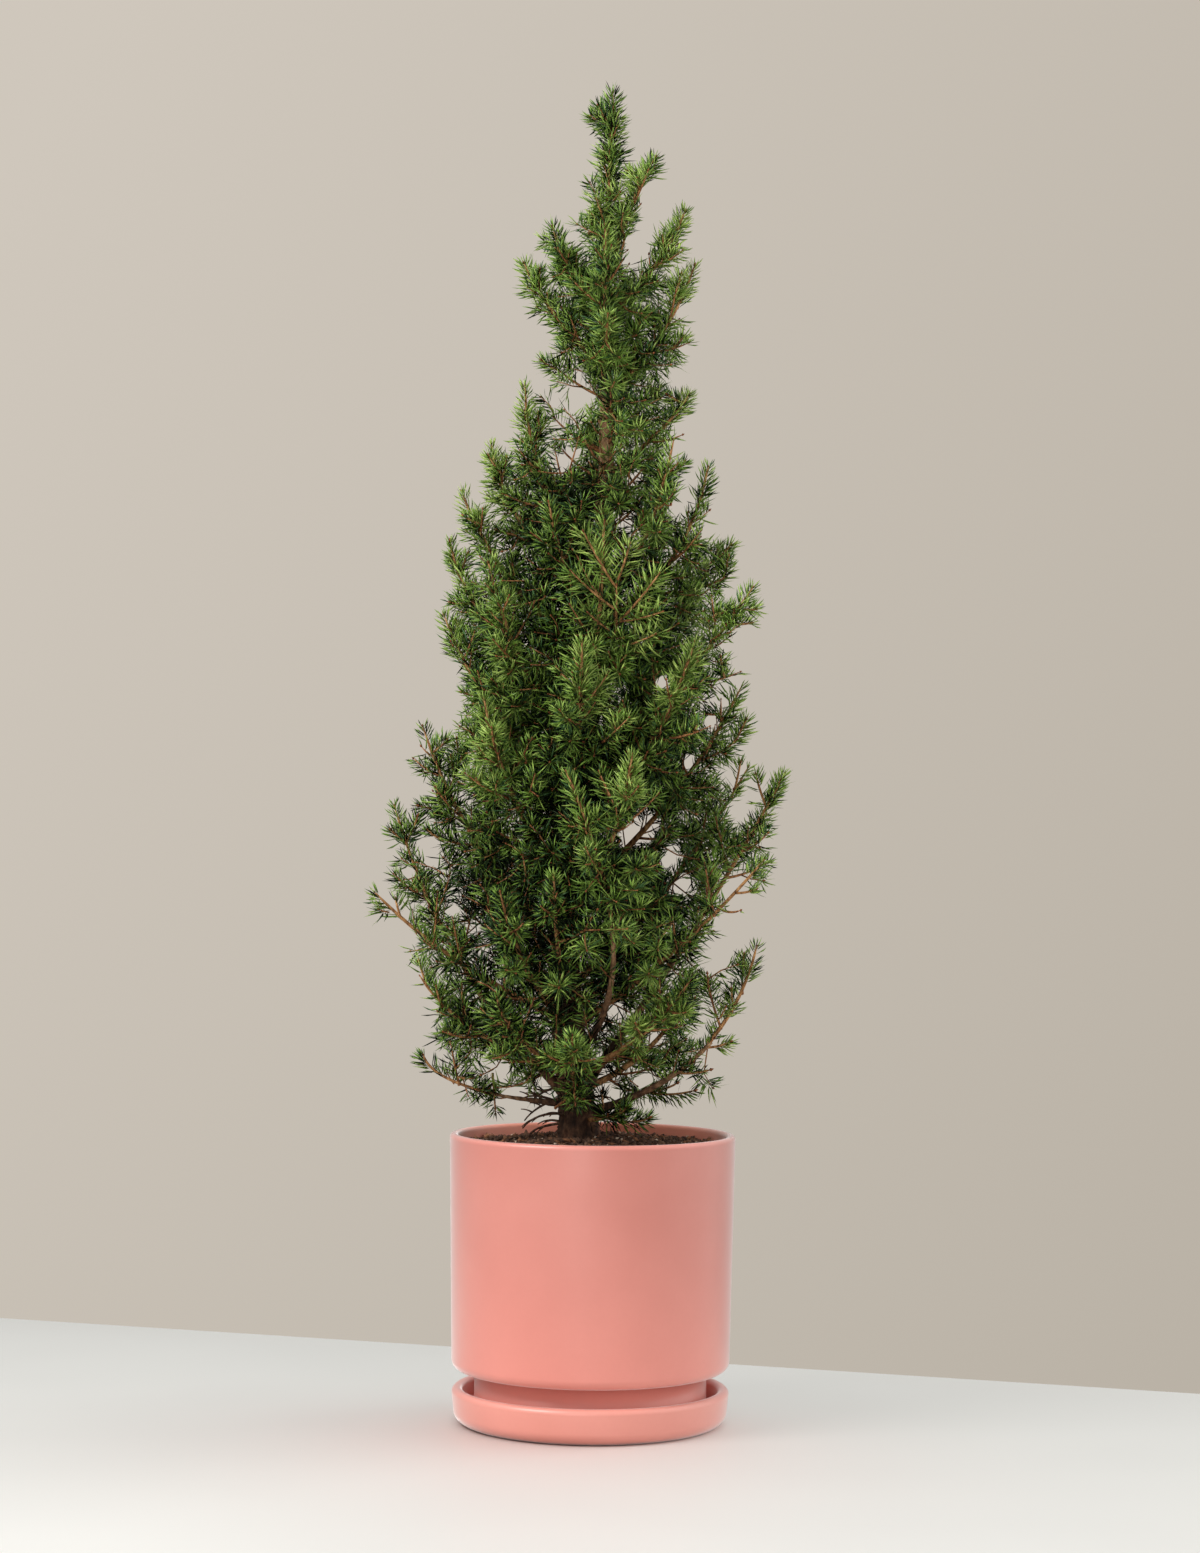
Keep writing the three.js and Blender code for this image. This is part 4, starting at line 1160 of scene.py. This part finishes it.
def lathe(profile, sides=180):
    profile = np.array(profile)
    angle = np.arange(sides) * TURN / sides
    across, height = profile[:, 0:1], profile[:, 1:2]
    points = np.stack([across * np.cos(angle), across * np.sin(angle), np.repeat(height, sides, 1)], -1)
    return points.reshape(-1, 3), ring_quads(len(profile), sides)


# Profiles start and end this near to the middle
AXIS = 0.01


def saucer_profile():
    s, lip, inner = SAUCER, SAUCER["wall"] / 2, SAUCER["inner_round"]
    return [
        (AXIS, 0),
        *arc(s["base"] - s["base_round"], s["base_round"], s["base_round"], -90, 0, 10),
        *arc(s["rim"] - lip, s["height"] - lip, lip, 0, 180, 14),
        *arc(s["rim"] - s["wall"] - inner, s["floor"] + inner, inner, 0, -90, 6),
        (AXIS, s["floor"]),
    ]


def pot_profile():
    p, lip = POT, POT["wall"] / 2
    wall = p["wall"]
    return [
        (AXIS, POT_BASE),
        *arc(p["foot"] - 1, POT_BASE + 1, 1, -90, 0, 3),
        (p["foot"], BODY_BASE - 1.2),
        *arc(p["foot"] + 1.2, BODY_BASE - 1.2, 1.2, 180, 90, 3),
        *arc(p["bottom"] - 6, BODY_BASE + 6, 6, -90, 0, 10),
        (p["bottom"] + 0.9, BODY_BASE + 56),
        (p["bottom"] + 1.8, BODY_BASE + 104),
        *arc(p["top"] - lip, RIM - lip, lip, 0, 180, 14),
        (p["top"] - wall - 0.3, RIM - 12),
        (p["bottom"] - wall, BODY_BASE + 2 * wall),
        (p["foot"] - wall, BODY_BASE),
        (p["foot"] - wall, POT_BASE + p["floor"]),
        (AXIS, POT_BASE + p["floor"]),
    ]


# Painted shade on the glaze: its tone by height, as shares of the way from the table to GLAZE_TOP metres.
# The tone falls towards the top of the body as painted shade and rises again on the lip as a painted
# highlight.
GLAZE_TOP = 0.1675
GLAZE_PAINTED_SHADE = [(0.0, 1.0), (0.2, 0.95), (0.6, 0.81), (0.965, 0.71), (0.99, 0.98)]
# Faces of the pot within this radius and above this height, in metres, are its inside, which gets a lighter
# glaze:
# painted light on the inner wall
INSIDE_RADIUS, INSIDE_HEIGHT = 0.0788, (RIM - 30) * 0.001


def glaze(name, low=(226, 138, 125), high=(235, 148, 135), painted_shade_ramp=GLAZE_PAINTED_SHADE):
    made = Shader(name, 0.42, 0.5)
    cloud = made.noise(14, 3)
    fine = made.noise(420, 2)
    base = made.ramp(cloud, (0.3, linear(*low)), (0.7, linear(*high)))
    base = made.mix(made.spread(fine, 0.0, 0.05), base, linear(205, 122, 112))
    # painted shade darkens the glaze towards the top, with a painted highlight on the lip; the saucer takes
    # it too
    if painted_shade_ramp:
        painted_shade_stops = [(share, (tone, tone, tone, 1)) for share, tone in painted_shade_ramp]
        base = made.mix(1.0, base, made.ramp(made.height(0.0, GLAZE_TOP), *painted_shade_stops), "MULTIPLY")
    made.colour(base)
    made.bsdf.inputs["Sheen Weight"].default_value = 1.0
    made.bsdf.inputs["Sheen Roughness"].default_value = 0.35
    made.rough(made.spread(made.noise(60, 3), 0.4, 0.5))
    made.bsdf.inputs["Coat Weight"].default_value = 0.5
    made.bsdf.inputs["Coat Roughness"].default_value = 0.3
    made.bump(made.noise(160, 2), 0.00012, 0.5)
    return made.material


pot_object = mesh_object("pot_body", *lathe(pot_profile()), glaze("pot_glaze"), True)
# the inside glaze is lighter than the outside and has no painted shade by height: painted light on the inner
# wall
pot_object.data.materials.append(glaze("pot_glaze_inside_painted_light", (255, 152, 124), (255, 162, 136), ()))
for face in pot_object.data.polygons:
    x, y, z = face.center
    face.material_index = int(math.hypot(x, y) < INSIDE_RADIUS and z > INSIDE_HEIGHT)
# The saucer's glaze is paler than the pot's outside: painted light for the reflection that pales it.
saucer_glaze = glaze("saucer_glaze", (226, 146, 132), (235, 156, 143))
saucer_object = mesh_object("saucer_dish", *lathe(saucer_profile()), saucer_glaze, True)


# Soil: a rough bed, and loose grains, bark bits and pale specks lying on it

def lump(x, y):
    """Broad lumps with small ones on them."""
    return noise.noise(Vector((x / 9, y / 9, 3.1))) * 1.1 + noise.noise(Vector((x / 2.6, y / 2.6, 7.7))) * 0.8


def soil_height(x, y):
    """Height of the bed at places, with lumps."""
    radius = np.hypot(x, y)
    level = GROUND - SOIL["mound_height"] * smooth(SOIL["mound_flat"], SOIL["mound_radius"], radius)
    lumps = np.array([lump(a, b) for a, b in zip(np.ravel(x), np.ravel(y))]).reshape(np.shape(x))
    return level - 0.6 + lumps


def soil_bed():
    rings, sides, underside = 64, 200, GROUND - 22
    radius = SOIL["bed"] * np.linspace(0, 1, rings + 1)[1:]
    angle = np.arange(sides) * TURN / sides
    x, y = radius[:, None] * np.cos(angle), radius[:, None] * np.sin(angle)
    z = soil_height(x, y)
    points = np.stack([x, y, z], -1).reshape(-1, 3)
    skirt = np.stack([x[-1], y[-1], np.full(sides, underside)], -1)
    points = np.concatenate([points, skirt, [[0, 0, GROUND], [0, 0, underside]]])
    rings += 1
    skin = ring_triangles(rings, sides)[:, [0, 2, 1]]
    top = round_middle(rings * sides, 0, sides)
    base = round_middle(rings * sides + 1, (rings - 1) * sides, sides)[:, [0, 2, 1]]
    return points, np.concatenate([skin, top, base])


# How far out grains lie, and how far they may reach
GRAINS_OUT, GRAINS_REACH = 75.5, 76.6
# A grain's six corners and eight faces, before it is made uneven
OCTA = np.array([[1, 0, 0], [0, 1, 0], [-1, 0, 0], [0, -1, 0], [0, 0, 1], [0, 0, -1]], float)
OCTA_FACES = np.concatenate([round_middle(4, 0, 4), round_middle(5, 0, 4)[:, [0, 2, 1]]])


def grains(number, low, high, flat, stretch, seed, lift):
    """Loose irregular grains on the bed."""
    rng = np.random.default_rng(seed)
    radius = GRAINS_OUT * np.sqrt(rng.uniform(0, 1, number))
    angle = rng.uniform(0, TURN, number)
    x, y = radius * np.cos(angle), radius * np.sin(angle)
    size = low + (high - low) * rng.uniform(0, 1, number) ** 2.2
    shape = OCTA[None] * rng.uniform(0.65, 1.25, (number, 6, 1)) + rng.normal(0, 0.18, (number, 6, 3))
    shape[:, :, 0] *= stretch
    shape[:, :, 2] *= flat
    yaw, tilt = rng.uniform(0, TURN, number), rng.normal(0, 0.5, number)
    yaw_cos, yaw_sin = np.cos(yaw)[:, None], np.sin(yaw)[:, None]
    tilt_cos, tilt_sin = np.cos(tilt)[:, None], np.sin(tilt)[:, None]
    along, over = shape[:, :, 0] * tilt_cos - shape[:, :, 2] * tilt_sin, shape[:, :, 1]
    upward = shape[:, :, 0] * tilt_sin + shape[:, :, 2] * tilt_cos
    turned = np.stack([along * yaw_cos - over * yaw_sin, along * yaw_sin + over * yaw_cos, upward], -1)
    centre = np.stack([x, y, soil_height(x, y) + lift * size * flat], -1)
    points = centre[:, None] + turned * (size / 2)[:, None, None]
    far = np.hypot(points[..., 0], points[..., 1])
    points[..., :2] *= np.minimum(1, GRAINS_REACH / np.maximum(far, 1))[..., None]
    faces = OCTA_FACES[None] + 6 * np.arange(number)[:, None, None]
    return points.reshape(-1, 3), faces.reshape(-1, 3)


def earth(name, dark, light):
    made = Shader(name, 0.95, 0.2)
    made.colour(made.ramp(made.noise(700, 4), (0.3, linear(*dark)), (0.7, linear(*light))))
    made.bump(made.noise(1500, 3), 0.0003)
    return made.material


# Loose grains: number, smallest, largest, flatness, stretch, seed and lift, then dark and light colour
GRAINS = {
    "soil_crumbs": ((5200, 1.0, 4.2, 0.8, 1.1, 21, 0.3), (50, 37, 31), (92, 68, 56)),
    "soil_clods": ((1700, 1.4, 5.2, 0.75, 1.2, 22, 0.3), (70, 52, 43), (120, 90, 72)),
    "bark_bits": ((900, 1.6, 5.4, 0.4, 1.7, 23, 0.6), (98, 66, 47), (154, 108, 78)),
    "pale_specks": ((420, 0.8, 2.6, 0.8, 1.2, 24, 0.7), (176, 150, 128), (222, 204, 184)),
}
soil_object = mesh_object("soil_bed", *soil_bed(), earth("soil_dark", (42, 29, 24), (80, 56, 44)), True)
grain_objects = [
    mesh_object(name, *grains(*sizes), earth(name.rstrip("s"), dark, light))
    for name, (sizes, dark, light) in GRAINS.items()
]

# Every piece stands for its solids and rides with them

foliage = [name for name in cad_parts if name.endswith("_foliage")]
boughs = [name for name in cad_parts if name.endswith("_bough")]
for piece in [*needle_objects, stem_object, twig_object, bud_object]:
    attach(piece, "root")
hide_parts(*foliage)
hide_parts("trunk", *boughs)
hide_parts("pot")
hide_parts("saucer")
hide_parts("soil")
for piece in [bark_object, dead_object, pot_object, saucer_object, soil_object, *grain_objects]:
    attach(piece, "root")


# Floor: a white table whose back edge runs as in the photo, through these two places

EDGE_LEFT, EDGE_RIGHT = np.array([-421.0, 373.0]), np.array([371.0, 114.0])
TABLE = dict(past=2600, deep=3200, thick=40)


def floor_mesh():
    along = (EDGE_RIGHT - EDGE_LEFT) / np.linalg.norm(EDGE_RIGHT - EDGE_LEFT)
    far_left, far_right = EDGE_LEFT - along * TABLE["past"], EDGE_RIGHT + along * TABLE["past"]
    near = np.array([along[1], -along[0]]) * TABLE["deep"]
    corners = [far_left, far_right, far_right + near, far_left + near]
    points = [(*corner, height) for height in (0, -TABLE["thick"]) for corner in corners]
    faces = [[0, 3, 2, 1], [4, 5, 6, 7], [0, 1, 5, 4], [1, 2, 6, 5], [2, 3, 7, 6], [3, 0, 4, 7]]
    return np.array(points), np.array(faces)


table = Shader("table_top", 0.6, 0.3)
table.colour(table.ramp(table.noise(3, 2), (0.35, linear(240, 241, 239)), (0.65, linear(245, 246, 244))))
floor = mesh_object("floor", *floor_mesh(), table.material)


# Light: a big soft window on the left, a weak one in front, a bounce from the right, and a pale room

def area(name, place, aim, size, watts, colour):
    data = bpy.data.lights.new(name, "AREA")
    data.shape, data.size, data.energy, data.color = "SQUARE", size, watts, colour
    made = bpy.data.objects.new(name, data)
    made.location = place
    made.rotation_euler = (Vector(aim) - Vector(place)).to_track_quat("-Z", "Y").to_euler()
    bpy.context.scene.collection.objects.link(made)


area("window", (-1.4, -0.95, 1.9), (0, 0, 0.3), 0.9, 42, (1.0, 0.985, 0.96))
area("front", (-0.4, -2.2, 0.5), (0, 0, 0.16), 0.8, 6.5, (1.0, 0.985, 0.965))
area("bounce", (1.9, 0.0, 0.75), (0, 0, 0.2), 2.4, 17, (1.0, 0.98, 0.95))


def room():
    """A wall that is lighter to the left as the camera sees it, and light that mostly comes from above."""
    world = bpy.data.worlds.new("room")
    bpy.context.scene.world = world
    world.use_nodes = True
    nodes, links = world.node_tree.nodes, world.node_tree.links
    look = nodes.new("ShaderNodeTexCoord").outputs["Generated"]
    lit = nodes.new("ShaderNodeBackground")
    lit.inputs["Color"].default_value = linear(246, 244, 240)
    parts = nodes.new("ShaderNodeSeparateXYZ")
    links.new(look, parts.inputs["Vector"])
    strength = map_range(nodes, links, parts.outputs["Z"], (-0.1, 1.0), (0.26, 1.08))
    links.new(strength, lit.inputs["Strength"])
    slope = nodes.new("ShaderNodeVectorMath")
    slope.operation = "DOT_PRODUCT"
    slope.inputs[1].default_value = (-0.9, 0.0, 0.55)
    links.new(look, slope.inputs[0])
    wall = nodes.new("ShaderNodeValToRGB")
    wall.color_ramp.elements[0].color = linear(186, 178, 166)
    wall.color_ramp.elements[1].color = linear(207, 199, 188)
    links.new(map_range(nodes, links, slope.outputs["Value"], (-0.26, 0.3)), wall.inputs["Fac"])
    shown = nodes["Background"]
    links.new(wall.outputs["Color"], shown.inputs["Color"])
    rays = nodes.new("ShaderNodeLightPath")
    choose = nodes.new("ShaderNodeMixShader")
    links.new(rays.outputs["Is Camera Ray"], choose.inputs["Fac"])
    links.new(lit.outputs["Background"], choose.inputs[1])
    links.new(shown.outputs["Background"], choose.inputs[2])
    links.new(choose.outputs["Shader"], nodes["World Output"].inputs["Surface"])


room()
scene = bpy.context.scene
scene.view_settings.view_transform = "Standard"
scene.view_settings.look = "None"

# Camera at the photo's place. FOCAL and PHOTO_HEIGHT are in the photo's pixels.

PITCH, ROLL = math.radians(1.89), TRUNK["lean"]
FOCAL, PHOTO_HEIGHT, SENSOR = 2981.0, 1553, 36.0
forward = Vector((0, math.cos(PITCH), math.sin(PITCH)))
upward = Vector((0, -math.sin(PITCH), math.cos(PITCH)))
rightward = Vector((1, 0, 0))
right = rightward * math.cos(ROLL) + upward * math.sin(ROLL)
up = upward * math.cos(ROLL) - rightward * math.sin(ROLL)
camera_data = bpy.data.cameras.new("camera")
camera_data.sensor_width, camera_data.lens = SENSOR, FOCAL / PHOTO_HEIGHT * SENSOR
camera_data.clip_start, camera_data.clip_end = 0.05, 30
camera = bpy.data.objects.new("camera", camera_data)
eye = (EYE["across"] * 0.001, -EYE["back"] * 0.001, EYE["height"] * 0.001)
camera.matrix_world = Matrix.Translation(eye) @ Matrix((right, up, -forward)).transposed().to_4x4()
scene.collection.objects.link(camera)
scene.camera = camera
